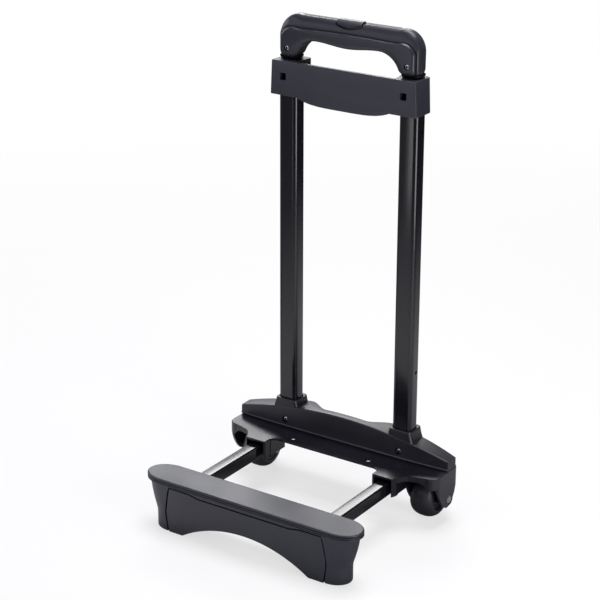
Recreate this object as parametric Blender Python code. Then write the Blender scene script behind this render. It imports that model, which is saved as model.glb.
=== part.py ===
"""Telescoping trolley for an instrument case, modelled as its separate pieces.

The trolley stands on two wheels and a foot bar. Two uprights carry a handle that
draws out in two stages, a crossbar ties their tops, and a moulded base joins them
to the wheels and to two legs. A panel in the foot bar pulls out to lengthen it.
Lengths are in metres. X runs along the wheel axles, the foot bar lies towards -Y,
and Z is up. Sizes across the trolley are taken from its middle plane, and sizes
along Y from the plane through the two uprights, until the last step sets the
origin under the middle of the whole trolley.
"""
import math

import bmesh
import bpy
from mathutils import Vector

# Overall sizes, which the pieces beside them follow
GRIP_TOP = 0.5360            # top of the handle when it is pushed in
UPRIGHT_SPACING = 0.1504     # centre to centre
TRAY_HALF_WIDTH = 0.1375
PLATE_TOP = 0.0600           # top face of the tray
WHEEL_RADIUS = 0.0247

# Clearances
SEAT_GAP = 0.0003            # between pieces that rest on each other
SLIDE_GAP = 0.0003           # on each side of a piece that slides
PANEL_GAP = 0.0010           # seen round the pull-out panel

# Uprights and the two stages inside them
GRIP_END = GRIP_TOP - 0.0445  # lower ends of the handle's legs
UPRIGHT_WIDTH = 0.0230
UPRIGHT_DEPTH = 0.0176
UPRIGHT_WALL = 0.0012
UPRIGHT_CORNER = 0.0050
UPRIGHT_TOP = GRIP_END - 0.0075
MIDDLE_WALL = 0.0010
MIDDLE_FOOT = 0.1380
MIDDLE_TRAVEL = UPRIGHT_TOP - MIDDLE_FOOT - 0.0760
INNER_WIDTH = 0.0146
INNER_DEPTH = 0.0096
INNER_WALL = 0.0010
INNER_FOOT = MIDDLE_FOOT + 0.0440
INNER_TOP = GRIP_TOP - 0.0240  # below the bend of the handle's corners
HANDLE_TRAVEL = MIDDLE_TRAVEL - 0.0250
TUBE_CORNER_STEPS = 3

# Lock plugs and lock pins at the feet of the two stages
PIN_RADIUS = 0.0016
PIN_LENGTH = 0.0060
PIN_THROW = 0.0014
PIN_STEPS = 12
PIN_OFFSET = 0.0015          # of the outer pins, behind the middle of the tube
MIDDLE_PIN_HEIGHT = MIDDLE_FOOT + 0.0230
INNER_PIN_HEIGHT = INNER_FOOT + 0.0140
PLUG_MARGIN = 0.0100         # plug material above and below its pin
NOTCH_HEIGHT = MIDDLE_FOOT + 0.0108
NOTCH_SIZE = 0.0058
NOTCH_DEPTH = 0.0030

# Handle
GRIP_HALF_WIDTH = UPRIGHT_SPACING / 2 + 0.0112
GRIP_OUTER_RADIUS = 0.0220
GRIP_INNER_RADIUS = 0.0260
GRIP_INNER_HALF_WIDTH = UPRIGHT_SPACING / 2 - 0.0105
GRIP_INNER_TOP = GRIP_TOP - 0.0245
GRIP_END_CHAMFER = (0.0018, 0.0045)  # of a leg's outer lower corner, across and up
GRIP_PALM_SWELL = 0.0030
GRIP_FRONT = -0.0130
GRIP_BACK = 0.0115
GRIP_PARTING = -0.0090
GRIP_GROOVE = (0.0030, 0.0040)  # of the rounded groove along the parting, in and back
GRIP_WALL = 0.0016
GRIP_STEP = 0.0007           # depth of the line that runs round the front shell
GRIP_STEP_FROM_TOP = 0.0106  # in the middle of the grip
GRIP_STEP_SAG = 0.0055       # that it is further in at the corners and on the legs
GRIP_STEP_SPAN = 0.0600
GRIP_CORNER_STEPS = 7
GRIP_PALM_STEPS = 5
INSERT_HALF_LENGTH = 0.0600
INSERT_FRONT = -0.0046
INSERT_BACK = 0.0050
INSERT_DEPTH = 0.0008
INSERT_PROUD = 0.0004
GRIP_SCREW_SPOT = (UPRIGHT_SPACING / 2 - 0.0012, GRIP_TOP - 0.0355)
SCREW_HEAD_RADIUS = 0.0027
SCREW_HEAD_HEIGHT = 0.0010
SCREW_SHANK_RADIUS = 0.0013
SCREW_SHANK_LENGTH = 0.0050
GRIP_SCREW_RECESS = 0.0017   # from the front of the grip, through the step
COVER_SCREW_RECESS = 0.0020
SCREW_STEPS = 12

# Release button and what it pushes
BUTTON_HALF_LENGTH = 0.0155
BUTTON_TRAVEL = 0.0030
BUTTON_RISE = 0.0023         # above the top of the grip
BUTTON_FRONT = -0.0139
BUTTON_LIP_INSIDE = -0.0126
BUTTON_LIP_HEIGHT = 0.0054   # from the grip's top down to the middle of the lip's edge
BUTTON_LIP_END = 0.0010      # the same at the two ends of the lip
BUTTON_LIP_STEPS = 5
BUTTON_OPENING_FRONT = -0.0112
BUTTON_OPENING_BACK = 0.0065
YOKE_BOTTOM = GRIP_TOP - 0.0160
YOKE_HEIGHT = 0.0035
YOKE_WIDTH = 0.0076
PUSH_ROD_RADIUS = 0.0015

# Collars under the handle and on the middle stage
HANDLE_COLLAR_HEIGHT = 0.0036
HANDLE_COLLAR_RIM = 0.0023
HANDLE_COLLAR_TAPER = 0.0010
MIDDLE_COLLAR_HEIGHT = 0.0030

# Crossbar
CROSSBAR_TOP = GRIP_END - 0.0039
CROSSBAR_BOTTOM = CROSSBAR_TOP - 0.0376
CROSSBAR_HALF_WIDTH = UPRIGHT_SPACING / 2 + 0.0128
CROSSBAR_FLARE = 0.0016
CROSSBAR_FRONT = -0.0186
CROSSBAR_BACK = 0.0128
CROSSBAR_PLATE = 0.0040
CROSSBAR_BELLY = 0.0064
CROSSBAR_BELLY_HALF = UPRIGHT_SPACING / 2 - 0.0177
CROSSBAR_MOUTH_MARGIN = 0.0010
BELLY_STEPS = 8
BOSS_WIDTH = UPRIGHT_WIDTH + 0.0036
BOSS_SPLAY = 0.0070          # that a boss widens inwards towards the back
BOSS_CORNER = 0.0040
CROSSBAR_SLOT = 0.0070       # square window in front of each upright
CROSSBAR_SLOT_HEIGHT = CROSSBAR_TOP - 0.0166
CROSSBAR_RIBS = (-0.036, -0.012, 0.012, 0.036)
RIB_THICKNESS = 0.0018
RIB_DEPTH = 0.0050

# Base cover
COVER_END = TRAY_HALF_WIDTH - 0.0005
COVER_CROWN = 0.0906
COVER_CROWN_DROP = 0.0202    # from the middle to the ends
COVER_FRONT = -0.0126
COVER_LEAN = 0.035           # that the front wall leans back, per unit of height
COVER_BACK = 0.0142
COVER_BACK_DROP = 0.0080     # forwards at the ends
COVER_WAIST_BACK = -0.0020   # the middle of the cover is only this deep
COVER_WAIST = (0.0260, 0.0560)
COVER_END_SET_BACK = 0.0030
COVER_LIP = 0.0012
COVER_LIP_HEIGHT = 0.0014
COVER_EDGE = 0.0015
COVER_WALL = 0.0025
COVER_STATION_COUNTS = (2, 5, 5)  # middle, waist and end, on each side
SLEEVE_TOP = 0.0942
SLEEVE_WIDTH = UPRIGHT_WIDTH + 0.0046
SLEEVE_FLARE = 0.0080
SLEEVE_BACK = 0.0136
SLEEVE_SET_BACK = 0.0006     # behind the cover's leaning front
SLEEVE_MOUTH_MARGIN = 0.0010
SLEEVE_MOUTH_DEPTH = 0.0040
COVER_SCREW_HEIGHT = 0.0692
COVER_SCREW_RECESS_RADIUS = 0.0036

# Base tray
PLATE_THICKNESS = 0.0025
TRAY_BACK = 0.0148
TRAY_MIDDLE_FRONT = -0.0443
TRAY_WALL = 0.0025
TRAY_BACK_CORNER = 0.0100
TRAY_REAR_SKIRT = 0.0450     # height of the rear skirt's lower edge
HOLE_SPOT = (0.0498, -0.0336)
HOLE_RADIUS = 0.0034
HOOD_FRONT = -0.0602
HOOD_OUTER = TRAY_HALF_WIDTH - 0.0401
HOOD_INNER = HOOD_OUTER - 0.0269
HOOD_CORNER = 0.0015
HOOD_NECK = ((0.0, 0.0060), (0.0020, 0.0022), (0.0062, 0.0))  # into the tray's front
HOOD_BOTTOM = 0.0385
HOOD_ROOF = 0.0580
HOOD_OPENING = (HOOD_INNER + 0.0031, HOOD_OUTER - 0.0021)
HOOD_BACK = -0.0200
GUARD_FRONT = -0.0418
GUARD_SHOULDER = -0.0387
GUARD_CORNER = (0.0125, 0.0112)
GUARD_CORNER_START = -0.0275
GUARD_SWEEP = ((0.0166, 0.0), (0.0093, 0.0024), (0.0056, 0.0062), (0.0016, 0.0120),
               (0.0, 0.0160))  # from the housing's front into the hood's side
GUARD_BOTTOM = 0.0172
GUARD_TIP_Y = -0.0102
GUARD_SPREAD = 0.0170        # a larger value makes the housing's side view blunter
GUARD_HALF_DEPTH = 0.0205
GUARD_FRONT_HEIGHT = 0.0465  # lower edge of the housing's front wall
ARCH_TOP = 0.0540
ARCH_OUTER = TRAY_HALF_WIDTH - 0.0085
ARCH_RADIUS = 0.0130

# Wheels and axles
WHEEL_WIDTH = 0.0235
WHEEL_CENTRE = TRAY_HALF_WIDTH - 0.0271
WHEEL_AXIS_Y = -0.0050
WHEEL_SHOULDER = 0.0065
HUB_RADIUS = 0.0150
HUB_BOSS_RADIUS = 0.0065
HUB_WEB = 0.0050
HUB_RIM = 0.0025
AXLE_RADIUS = 0.0030
AXLE_CLEARANCE = 0.00005
AXLE_HEAD_RADIUS = 0.0050
AXLE_HEAD_HEIGHT = 0.0030
AXLE_BOSS_RADIUS = 0.0070
AXLE_WALL = (HOOD_OUTER - 0.0020, HOOD_OUTER + 0.0010)  # inner wall of the wheel housing
NUT_RADIUS = 0.0050
NUT_HEIGHT = 0.0042
WHEEL_STEPS = 24
GUARD_STEPS = 6

# Legs
LEG_SPACING = 2 * (HOOD_OUTER - 0.0129)
LEG_REACH = LEG_SPACING / 2   # of a leg's middle from the trolley's
LEG_WIDTH = 0.0145
LEG_HEIGHT = 0.0156
LEG_TOP = 0.0540
LEG_WALL = 0.0012
LEG_CORNER = 0.0030
LEG_BACK = -0.0210
LEG_BLOCK_FRONT = -0.0400

# Foot bar
FOOT_FRONT = -0.2030
FOOT_BACK = -0.1630
FOOT_HALF_LENGTH = TRAY_HALF_WIDTH - 0.0011
FOOT_END_REACH = 0.0270
FOOT_TOP = PLATE_TOP + 0.0016
FOOT_TOP_PLATE = 0.0028
FOOT_TOP_SHOULDER = 0.0018    # rounding of the top plate's edge
FOOT_RIM = 0.0042
FOOT_RIM_INSET = 0.0003
FOOT_INSET = 0.0018          # body behind the rim, along its front and back
FOOT_END_INSET = 0.0045
FOOT_KNEE = 0.0200           # height where the ends stop tapering
FOOT_TAPER_X = 0.0085
FOOT_TAPER_Y = 0.0014
FOOT_WALL = 0.0025
FOOT_EDGE = 0.0018
FOOT_HOLLOW_HALF = LEG_REACH - 0.0125  # the hollow between the leg sockets
FOOT_ARCH_RISE = 0.0240
FOOT_ARCH_HALF = LEG_REACH - 0.0025
ARCH_STEPS = 20
END_STEPS = 6

# Pull-out panel
PANEL_TOP_CORNER = 0.0527
PANEL_TOP_MIDDLE = 0.0500
PANEL_TOP_HALF = LEG_REACH + 0.0132
PANEL_KNEE_HALF = LEG_REACH + 0.0180
PANEL_FOOT_HALF = LEG_REACH + 0.0152
PANEL_STEP_OUTER = LEG_REACH - 0.0119
PANEL_STEP_INNER = LEG_REACH - 0.0271
PANEL_THICKNESS = 0.0025
PANEL_RETURN = 0.0110
PANEL_TRAVEL = 0.0900
ROD_BACK = -0.0500
ROD_WALL = 0.0010
ROD_SEAT_DEPTH = 0.0050

# The whole trolley is set over the origin by its rearmost and foremost points
REAR_REACH = WHEEL_AXIS_Y + WHEEL_RADIUS
UPRIGHT_PLANE_Y = -(FOOT_FRONT + REAR_REACH) / 2

FINISHES = {
    "moulded_plastic": ((0.022, 0.022, 0.025), 0.45, 0.0),
    "grip_plastic": ((0.018, 0.018, 0.020), 0.38, 0.0),
    "soft_insert": ((0.015, 0.015, 0.016), 0.60, 0.0),
    "black_tube": ((0.012, 0.012, 0.013), 0.25, 0.6),
    "nylon": ((0.010, 0.010, 0.011), 0.50, 0.0),
    "zinc_steel": ((0.62, 0.62, 0.64), 0.30, 1.0),
    "tyre_rubber": ((0.020, 0.020, 0.022), 0.55, 0.0),
    "hub_plastic": ((0.030, 0.030, 0.033), 0.45, 0.0),
}


def clear_scene():
    for item in list(bpy.data.objects):
        bpy.data.objects.remove(item, do_unlink=True)


def finish_material(name):
    """One Principled material for each finish, made when first asked for."""
    material = bpy.data.materials.get(name)
    if material is None:
        colour, roughness, metallic = FINISHES[name]
        material = bpy.data.materials.new(name)
        material.use_nodes = True
        shader = material.node_tree.nodes["Principled BSDF"]
        shader.inputs["Base Color"].default_value = (*colour, 1.0)
        shader.inputs["Roughness"].default_value = roughness
        shader.inputs["Metallic"].default_value = metallic
    return material


def add_loft(bm, rings, closed=False):
    """Skin rings of equal count; closed joins the last ring to the first."""
    loops = [[bm.verts.new(Vector(point)) for point in ring] for ring in rings]
    pairs = list(zip(loops, loops[1:]))
    if closed:
        pairs.append((loops[-1], loops[0]))
    for low, high in pairs:
        for index in range(len(low)):
            after = (index + 1) % len(low)
            bm.faces.new((low[index], low[after], high[after], high[index]))
    if not closed:
        bm.faces.new(loops[0])
        bm.faces.new(reversed(loops[-1]))


def piece(name, finish, parent, rings, closed=False, smooth=35):
    """A solid skinned over rings, placed under its parent's frame."""
    bm = bmesh.new()
    add_loft(bm, rings, closed)
    return settle(name, bm, finish, parent, smooth)


def split_bent_faces(bm):
    """Split faces whose corners don't lie in one plane; Booleans handle them badly."""
    bent = []
    for face in bm.faces:
        centre = face.calc_center_median()
        if max(abs((vert.co - centre).dot(face.normal)) for vert in face.verts) > 1e-7:
            bent.append(face)
    bmesh.ops.triangulate(bm, faces=bent)


def settle(name, bm, finish, parent, smooth=35):
    bmesh.ops.recalc_face_normals(bm, faces=bm.faces)
    split_bent_faces(bm)
    mesh = bpy.data.meshes.new(name)
    bm.to_mesh(mesh)
    bm.free()
    mesh.shade_smooth()
    mesh.set_sharp_from_angle(angle=math.radians(smooth))
    made = bpy.data.objects.new(name, mesh)
    made.data.materials.append(finish_material(finish))
    bpy.context.scene.collection.objects.link(made)
    if parent is not None:
        made.parent = parent
    return made


def cutter(name, shapes, parent):
    """Closed shapes for a Boolean; each is a list of rings, or (rings, True)."""
    bm = bmesh.new()
    for shape in shapes:
        rings, closed = shape if isinstance(shape, tuple) else (shape, False)
        add_loft(bm, rings, closed)
    made = settle(name, bm, "moulded_plastic", parent)
    made.hide_render = True
    made.display_type = "WIRE"
    return made


def combine(target, operand, operation):
    modifier = target.modifiers.new(operand.name, "BOOLEAN")
    modifier.operation = operation
    modifier.object = operand
    modifier.solver = "EXACT"


def cut(target, name, shapes, parent):
    combine(target, cutter(name, shapes, parent), "DIFFERENCE")


def fuse(target, name, shapes, parent):
    """Weld shapes to a target one at a time, so that each may overlap the last."""
    for number, shape in enumerate(shapes):
        combine(target, cutter(f"{name}_{number}", [shape], parent), "UNION")


def rounded_rectangle(width, depth, radius, steps=TUBE_CORNER_STEPS, centre=(0.0, 0.0)):
    points = []
    for quarter, (side_x, side_y) in enumerate(((1, 1), (-1, 1), (-1, -1), (1, -1))):
        corner_x = centre[0] + side_x * (width / 2 - radius)
        corner_y = centre[1] + side_y * (depth / 2 - radius)
        for step in range(steps + 1):
            angle = math.radians(90 * (quarter + step / steps))
            points.append((corner_x + radius * math.cos(angle),
                           corner_y + radius * math.sin(angle)))
    return points


def circle(radius, steps, centre=(0.0, 0.0)):
    turns = [2 * math.pi * step / steps for step in range(steps)]
    return [(centre[0] + radius * math.cos(a), centre[1] + radius * math.sin(a))
            for a in turns]


def hexagon(corner_radius, steps):
    """Six-sided outline with as many points as a circle of the same count."""
    points = []
    for step in range(steps):
        angle = 2 * math.pi * step / steps
        from_flat = angle % (math.pi / 3) - math.pi / 6
        reach = corner_radius * math.cos(math.pi / 6) / math.cos(from_flat)
        points.append((reach * math.cos(angle), reach * math.sin(angle)))
    return points


def box_outline(low, high):
    return [(low[0], low[1]), (high[0], low[1]), (high[0], high[1]), (low[0], high[1])]


def along_z(outline, height):
    return [(x, y, height) for x, y in outline]


def along_y(outline, reach):
    """Outline given as (x, z)."""
    return [(x, reach, z) for x, z in outline]


def along_x(outline, reach):
    """Outline given as (y, z)."""
    return [(reach, y, z) for y, z in outline]


def arc(centre, radius, start, stop, steps):
    """Points on an arc, angles in degrees; radius may be a pair for an ellipse."""
    radius_x, radius_y = radius if isinstance(radius, tuple) else (radius, radius)
    points = []
    for step in range(steps + 1):
        angle = math.radians(start + (stop - start) * step / steps)
        points.append((centre[0] + radius_x * math.cos(angle),
                       centre[1] + radius_y * math.sin(angle)))
    return points


def inset(outline, distance):
    """An anticlockwise outline moved inwards, each corner along its bisector."""
    moved = []
    count = len(outline)
    for index, (x, y) in enumerate(outline):
        before = Vector(outline[index - 1])
        here = Vector((x, y))
        after = Vector(outline[(index + 1) % count])
        normals = []
        for start, stop in ((before, here), (here, after)):
            edge = (stop - start).normalized()
            normals.append(Vector((-edge.y, edge.x)))
        bisector = (normals[0] + normals[1]).normalized()
        reach = distance / max(bisector.dot(normals[0]), 0.5)
        moved.append((x + bisector.x * reach, y + bisector.y * reach))
    return moved


def sides():
    return (("left", -1), ("right", 1))


def nested_section(level):
    """Width, depth, corner and wall of the upright (0), middle (1) and inner (2) tube."""
    if level == 0:
        return UPRIGHT_WIDTH, UPRIGHT_DEPTH, UPRIGHT_CORNER, UPRIGHT_WALL
    if level == 1:
        shrink = 2 * (UPRIGHT_WALL + SLIDE_GAP)
        corner = UPRIGHT_CORNER - UPRIGHT_WALL - SLIDE_GAP
        return UPRIGHT_WIDTH - shrink, UPRIGHT_DEPTH - shrink, corner, MIDDLE_WALL
    return INNER_WIDTH, INNER_DEPTH, UPRIGHT_CORNER / 2, INNER_WALL


def tube_outlines(level, centre_x):
    width, depth, corner, wall = nested_section(level)
    outer = rounded_rectangle(width, depth, corner, centre=(centre_x, 0))
    bore = rounded_rectangle(width - 2 * wall, depth - 2 * wall, corner - wall,
                             centre=(centre_x, 0))
    return outer, bore


def upright_tube(name, level, side, bottom, top, parent):
    outer, bore = tube_outlines(level, side * UPRIGHT_SPACING / 2)
    rings = [along_z(outer, bottom), along_z(outer, top),
             along_z(bore, top), along_z(bore, bottom)]
    return piece(name, "black_tube", parent, rings, closed=True)


def pin_hole(side, height, offset, reach):
    """Round hole along X, from just past the tube's middle outwards."""
    middle = side * UPRIGHT_SPACING / 2
    outline = circle(PIN_RADIUS + SLIDE_GAP, PIN_STEPS, centre=(offset, height))
    return [along_x(outline, middle - side * PIN_THROW),
            along_x(outline, middle + side * reach)]


def uprights(parent):
    """The two fixed outer tubes, drilled for the middle stage's lock pins."""
    for label, side in sides():
        tube = upright_tube(f"upright_tube_{label}", 0, side, PLATE_TOP + SEAT_GAP,
                            UPRIGHT_TOP, parent)
        heights = (MIDDLE_PIN_HEIGHT, MIDDLE_PIN_HEIGHT + MIDDLE_TRAVEL)
        holes = [pin_hole(side, height, PIN_OFFSET, UPRIGHT_WIDTH) for height in heights]
        cut(tube, f"upright_lock_holes_{label}", holes, parent)
        drilled = circle(SCREW_SHANK_RADIUS + SEAT_GAP, SCREW_STEPS,
                         centre=(side * UPRIGHT_SPACING / 2, COVER_SCREW_HEIGHT))
        cut(tube, f"upright_screw_hole_{label}",
            [[along_y(drilled, -UPRIGHT_DEPTH), along_y(drilled, 0.0)]], parent)
        corner = (side * UPRIGHT_SPACING / 2 + UPRIGHT_WIDTH / 2, UPRIGHT_DEPTH / 2)
        notch = rounded_rectangle(2 * NOTCH_DEPTH, 2 * NOTCH_DEPTH, NOTCH_DEPTH / 2,
                                  centre=corner)
        cut(tube, f"upright_notch_{label}",
            [[along_z(notch, NOTCH_HEIGHT - NOTCH_SIZE / 2),
              along_z(notch, NOTCH_HEIGHT + NOTCH_SIZE / 2)]], parent)


def lock_plug(name, level, side, pin_height, foot, offset, parent):
    """Block in the foot of a stage, bored for the pin that it guides."""
    width, depth, corner, wall = nested_section(level)
    outline = rounded_rectangle(width - 2 * (wall + SEAT_GAP), depth - 2 * (wall + SEAT_GAP),
                                corner - wall, centre=(side * UPRIGHT_SPACING / 2, 0))
    block = piece(name, "nylon", parent, [along_z(outline, foot + SEAT_GAP),
                                          along_z(outline, pin_height + PLUG_MARGIN)])
    cut(block, f"{name}_bore", [pin_hole(side, pin_height, offset, width)], parent)
    if level == 2:
        shaft = circle(PUSH_ROD_RADIUS + SLIDE_GAP, 10, centre=(side * UPRIGHT_SPACING / 2, 0))
        cut(block, f"{name}_shaft", [[along_z(shaft, pin_height),
                                      along_z(shaft, pin_height + 2 * PLUG_MARGIN)]], parent)
    return block


def lock_pin(name, level, side, pin_height, offset, parent):
    """Steel pin whose tip rides on the inside of the next tube."""
    outer_width, _, _, outer_wall = nested_section(level - 1)
    tip = outer_width / 2 - outer_wall - SLIDE_GAP
    outline = circle(PIN_RADIUS, PIN_STEPS)
    tip_outline = circle(PIN_RADIUS * 0.72, PIN_STEPS)
    rings = [along_x(outline, side * (tip - PIN_LENGTH)),
             along_x(outline, side * (tip - PIN_RADIUS / 3)),
             along_x(tip_outline, side * tip)]
    pin = piece(name, "zinc_steel", parent, rings)
    pin.location = (side * UPRIGHT_SPACING / 2, offset, pin_height)
    return pin


def middle_stage(parent):
    """Middle tubes with their lock plugs, pins and top collars."""
    for label, side in sides():
        top = UPRIGHT_TOP
        tube = upright_tube(f"middle_tube_{label}", 1, side, MIDDLE_FOOT, top, parent)
        own_hole = pin_hole(side, MIDDLE_PIN_HEIGHT, PIN_OFFSET, UPRIGHT_WIDTH)
        inner_holes = [pin_hole(side, height, 0.0, UPRIGHT_WIDTH)
                       for height in (INNER_PIN_HEIGHT, INNER_PIN_HEIGHT + HANDLE_TRAVEL)]
        cut(tube, f"middle_lock_holes_{label}", [own_hole] + inner_holes, parent)
        lock_plug(f"middle_lock_plug_{label}", 1, side, MIDDLE_PIN_HEIGHT, MIDDLE_FOOT,
                  PIN_OFFSET, parent)
        lock_pin(f"middle_lock_pin_{label}", 1, side, MIDDLE_PIN_HEIGHT, PIN_OFFSET, parent)
        middle_collar(label, side, parent)


def middle_collar(label, side, parent):
    """Guide collar on top of the middle tube, hidden in the crossbar's mouth."""
    centre = (side * UPRIGHT_SPACING / 2, 0)
    width, depth, corner, _ = nested_section(1)
    slack = 2 * SLIDE_GAP
    outer = rounded_rectangle(width, depth, corner, centre=centre)
    bore = rounded_rectangle(INNER_WIDTH + slack, INNER_DEPTH + slack,
                             UPRIGHT_CORNER / 2, centre=centre)
    low = UPRIGHT_TOP + SEAT_GAP
    high = low + MIDDLE_COLLAR_HEIGHT
    piece(f"middle_collar_{label}", "nylon", parent,
          [along_z(outer, low), along_z(outer, high), along_z(bore, high), along_z(bore, low)],
          closed=True)


def inner_stage(parent):
    """Inner tubes that carry the handle, with their lock plugs and pins."""
    for label, side in sides():
        tube = upright_tube(f"inner_tube_{label}", 2, side, INNER_FOOT, INNER_TOP, parent)
        cut(tube, f"inner_lock_hole_{label}",
            [pin_hole(side, INNER_PIN_HEIGHT, 0.0, UPRIGHT_WIDTH)], parent)
        lock_plug(f"inner_lock_plug_{label}", 2, side, INNER_PIN_HEIGHT, INNER_FOOT, 0.0,
                  parent)
        lock_pin(f"inner_lock_pin_{label}", 2, side, INNER_PIN_HEIGHT, 0.0, parent)
        handle_collar(label, side, parent)


def handle_collar(label, side, parent):
    """Tapered collar between the handle's leg and the crossbar."""
    centre = (side * UPRIGHT_SPACING / 2, 0)
    slack = 2 * SLIDE_GAP
    top = GRIP_END - SEAT_GAP
    bottom = top - HANDLE_COLLAR_HEIGHT
    rim, taper = 2 * HANDLE_COLLAR_RIM, 2 * HANDLE_COLLAR_TAPER
    wide = rounded_rectangle(INNER_WIDTH + rim, INNER_DEPTH + rim, UPRIGHT_CORNER,
                             centre=centre)
    narrow = rounded_rectangle(INNER_WIDTH + rim - taper, INNER_DEPTH + rim - taper,
                               UPRIGHT_CORNER, centre=centre)
    bore = rounded_rectangle(INNER_WIDTH + slack, INNER_DEPTH + slack,
                             UPRIGHT_CORNER / 2, centre=centre)
    piece(f"handle_collar_{label}", "nylon", parent,
          [along_z(narrow, bottom), along_z(wide, bottom + HANDLE_COLLAR_HEIGHT / 2),
           along_z(wide, top), along_z(bore, top), along_z(bore, bottom)], closed=True)


def grip_outer_length():
    """Length of the grip's outer line from a leg's end to the top's start."""
    straight = GRIP_TOP - GRIP_OUTER_RADIUS - GRIP_END
    return straight + GRIP_OUTER_RADIUS * math.pi / 2


def grip_outer_point(share):
    """Point on the grip's outer line, from a leg's end (0) to the top's start (1)."""
    straight = GRIP_TOP - GRIP_OUTER_RADIUS - GRIP_END
    travelled = share * grip_outer_length()
    if travelled <= straight:
        cut_back = GRIP_END_CHAMFER[0] if share == 0.0 else 0.0
        return Vector((GRIP_HALF_WIDTH - cut_back, GRIP_END + travelled))
    angle = (travelled - straight) / GRIP_OUTER_RADIUS
    return Vector((GRIP_HALF_WIDTH - GRIP_OUTER_RADIUS * (1 - math.cos(angle)),
                   GRIP_TOP - GRIP_OUTER_RADIUS * (1 - math.sin(angle))))


def grip_stations():
    """Pairs of points on the grip's inner and outer lines, from right leg to left."""
    centre = Vector((GRIP_INNER_HALF_WIDTH - GRIP_INNER_RADIUS,
                     GRIP_INNER_TOP - GRIP_INNER_RADIUS))
    first = math.asin((GRIP_END - centre.y) / GRIP_INNER_RADIUS)
    half = []
    shares = [step / GRIP_CORNER_STEPS for step in range(GRIP_CORNER_STEPS + 1)]
    shares.insert(1, GRIP_END_CHAMFER[1] / grip_outer_length())
    for share in shares:
        angle = first + (math.pi / 2 - first) * share
        inner = centre + GRIP_INNER_RADIUS * Vector((math.cos(angle), math.sin(angle)))
        half.append((inner, grip_outer_point(share)))
    inner_start, outer_start = half[-1]
    for step in range(1, GRIP_PALM_STEPS + 1):
        share = 1 - step / GRIP_PALM_STEPS
        sink = GRIP_PALM_SWELL * math.cos(share * math.pi / 2) ** 2
        inner = Vector((inner_start.x * share, GRIP_INNER_TOP - sink))
        half.append((inner, Vector((outer_start.x * share, GRIP_TOP))))
    other = [(Vector((-i.x, i.y)), Vector((-o.x, o.y))) for i, o in reversed(half[:-1])]
    return half + other


def step_distance(x):
    """Distance of the front shell's step from the outer line, where that stands at x."""
    return GRIP_STEP_FROM_TOP + GRIP_STEP_SAG * min(abs(x) / GRIP_STEP_SPAN, 1.0) ** 1.5


def front_shell_section(height, x):
    """Section of the front shell: u from the palm side outwards, v along Y."""
    edge = GRIP_PARTING - SEAT_GAP / 2
    palm = 0.0036
    crown_v = GRIP_PARTING - GRIP_FRONT - GRIP_STEP
    crown_u = crown_v
    step_u = height - step_distance(x)
    palm_centre = (palm, GRIP_FRONT + palm)
    crown_centre = (height - GRIP_GROOVE[0] - crown_u, GRIP_PARTING)
    outside = [(0.0, edge)] + arc(palm_centre, palm, 180, 270, 3)
    outside += [(step_u, GRIP_FRONT), (step_u + GRIP_STEP, GRIP_FRONT + GRIP_STEP)]
    outside += arc(crown_centre, (crown_u, crown_v), 270, 360, 4)[:-1]
    outside.append((height - GRIP_GROOVE[0], edge))
    wall = GRIP_WALL
    inside = [(height - GRIP_GROOVE[0] - wall, edge)]
    inside += arc(crown_centre, (crown_u - wall, crown_v - wall), 345, 270, 2)
    inside += [(step_u, GRIP_FRONT + GRIP_STEP + wall)]
    inside += arc(palm_centre, palm - wall, 270, 180, 2)
    inside.append((wall, edge))
    return outside + inside


def rear_shell_section(height, x):
    edge = GRIP_PARTING + SEAT_GAP / 2
    palm, crown = 0.0055, 0.0075
    groove_in, groove_back = GRIP_GROOVE
    groove_centre = (height - groove_in, edge + groove_back)
    palm_centre = (palm, GRIP_BACK - palm)
    crown_centre = (height - crown, GRIP_BACK - crown)
    wall = GRIP_WALL
    outside = arc(groove_centre, GRIP_GROOVE, 270, 360, 3)
    outside += arc(crown_centre, crown, 0, 90, 4)
    outside += arc(palm_centre, palm, 90, 180, 3) + [(0.0, edge)]
    inside = [(wall, edge)] + arc(palm_centre, palm - wall, 180, 90, 2)
    inside += arc(crown_centre, crown - wall, 90, 0, 2)
    inside += [(height - wall, edge + groove_back), (height - groove_in - wall, edge)]
    return outside + inside


def grip_rings(section, stations):
    rings = []
    for inner, outer in stations:
        across = outer - inner
        height = across.length
        direction = across / height
        ring = []
        for u, v in section(height, outer.x):
            spot = inner + direction * u
            ring.append((spot.x, v, spot.y))
        rings.append(ring)
    return rings


def screw_hole(spot, recess_radius, face, recess, end):
    """Counterbored hole along Y for a screw."""
    recess_outline = circle(recess_radius, SCREW_STEPS, centre=spot)
    shank = circle(SCREW_SHANK_RADIUS + SEAT_GAP, SCREW_STEPS, centre=spot)
    return [along_y(recess_outline, face - recess), along_y(recess_outline, face + recess),
            along_y(shank, face + recess), along_y(shank, end)]


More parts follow.
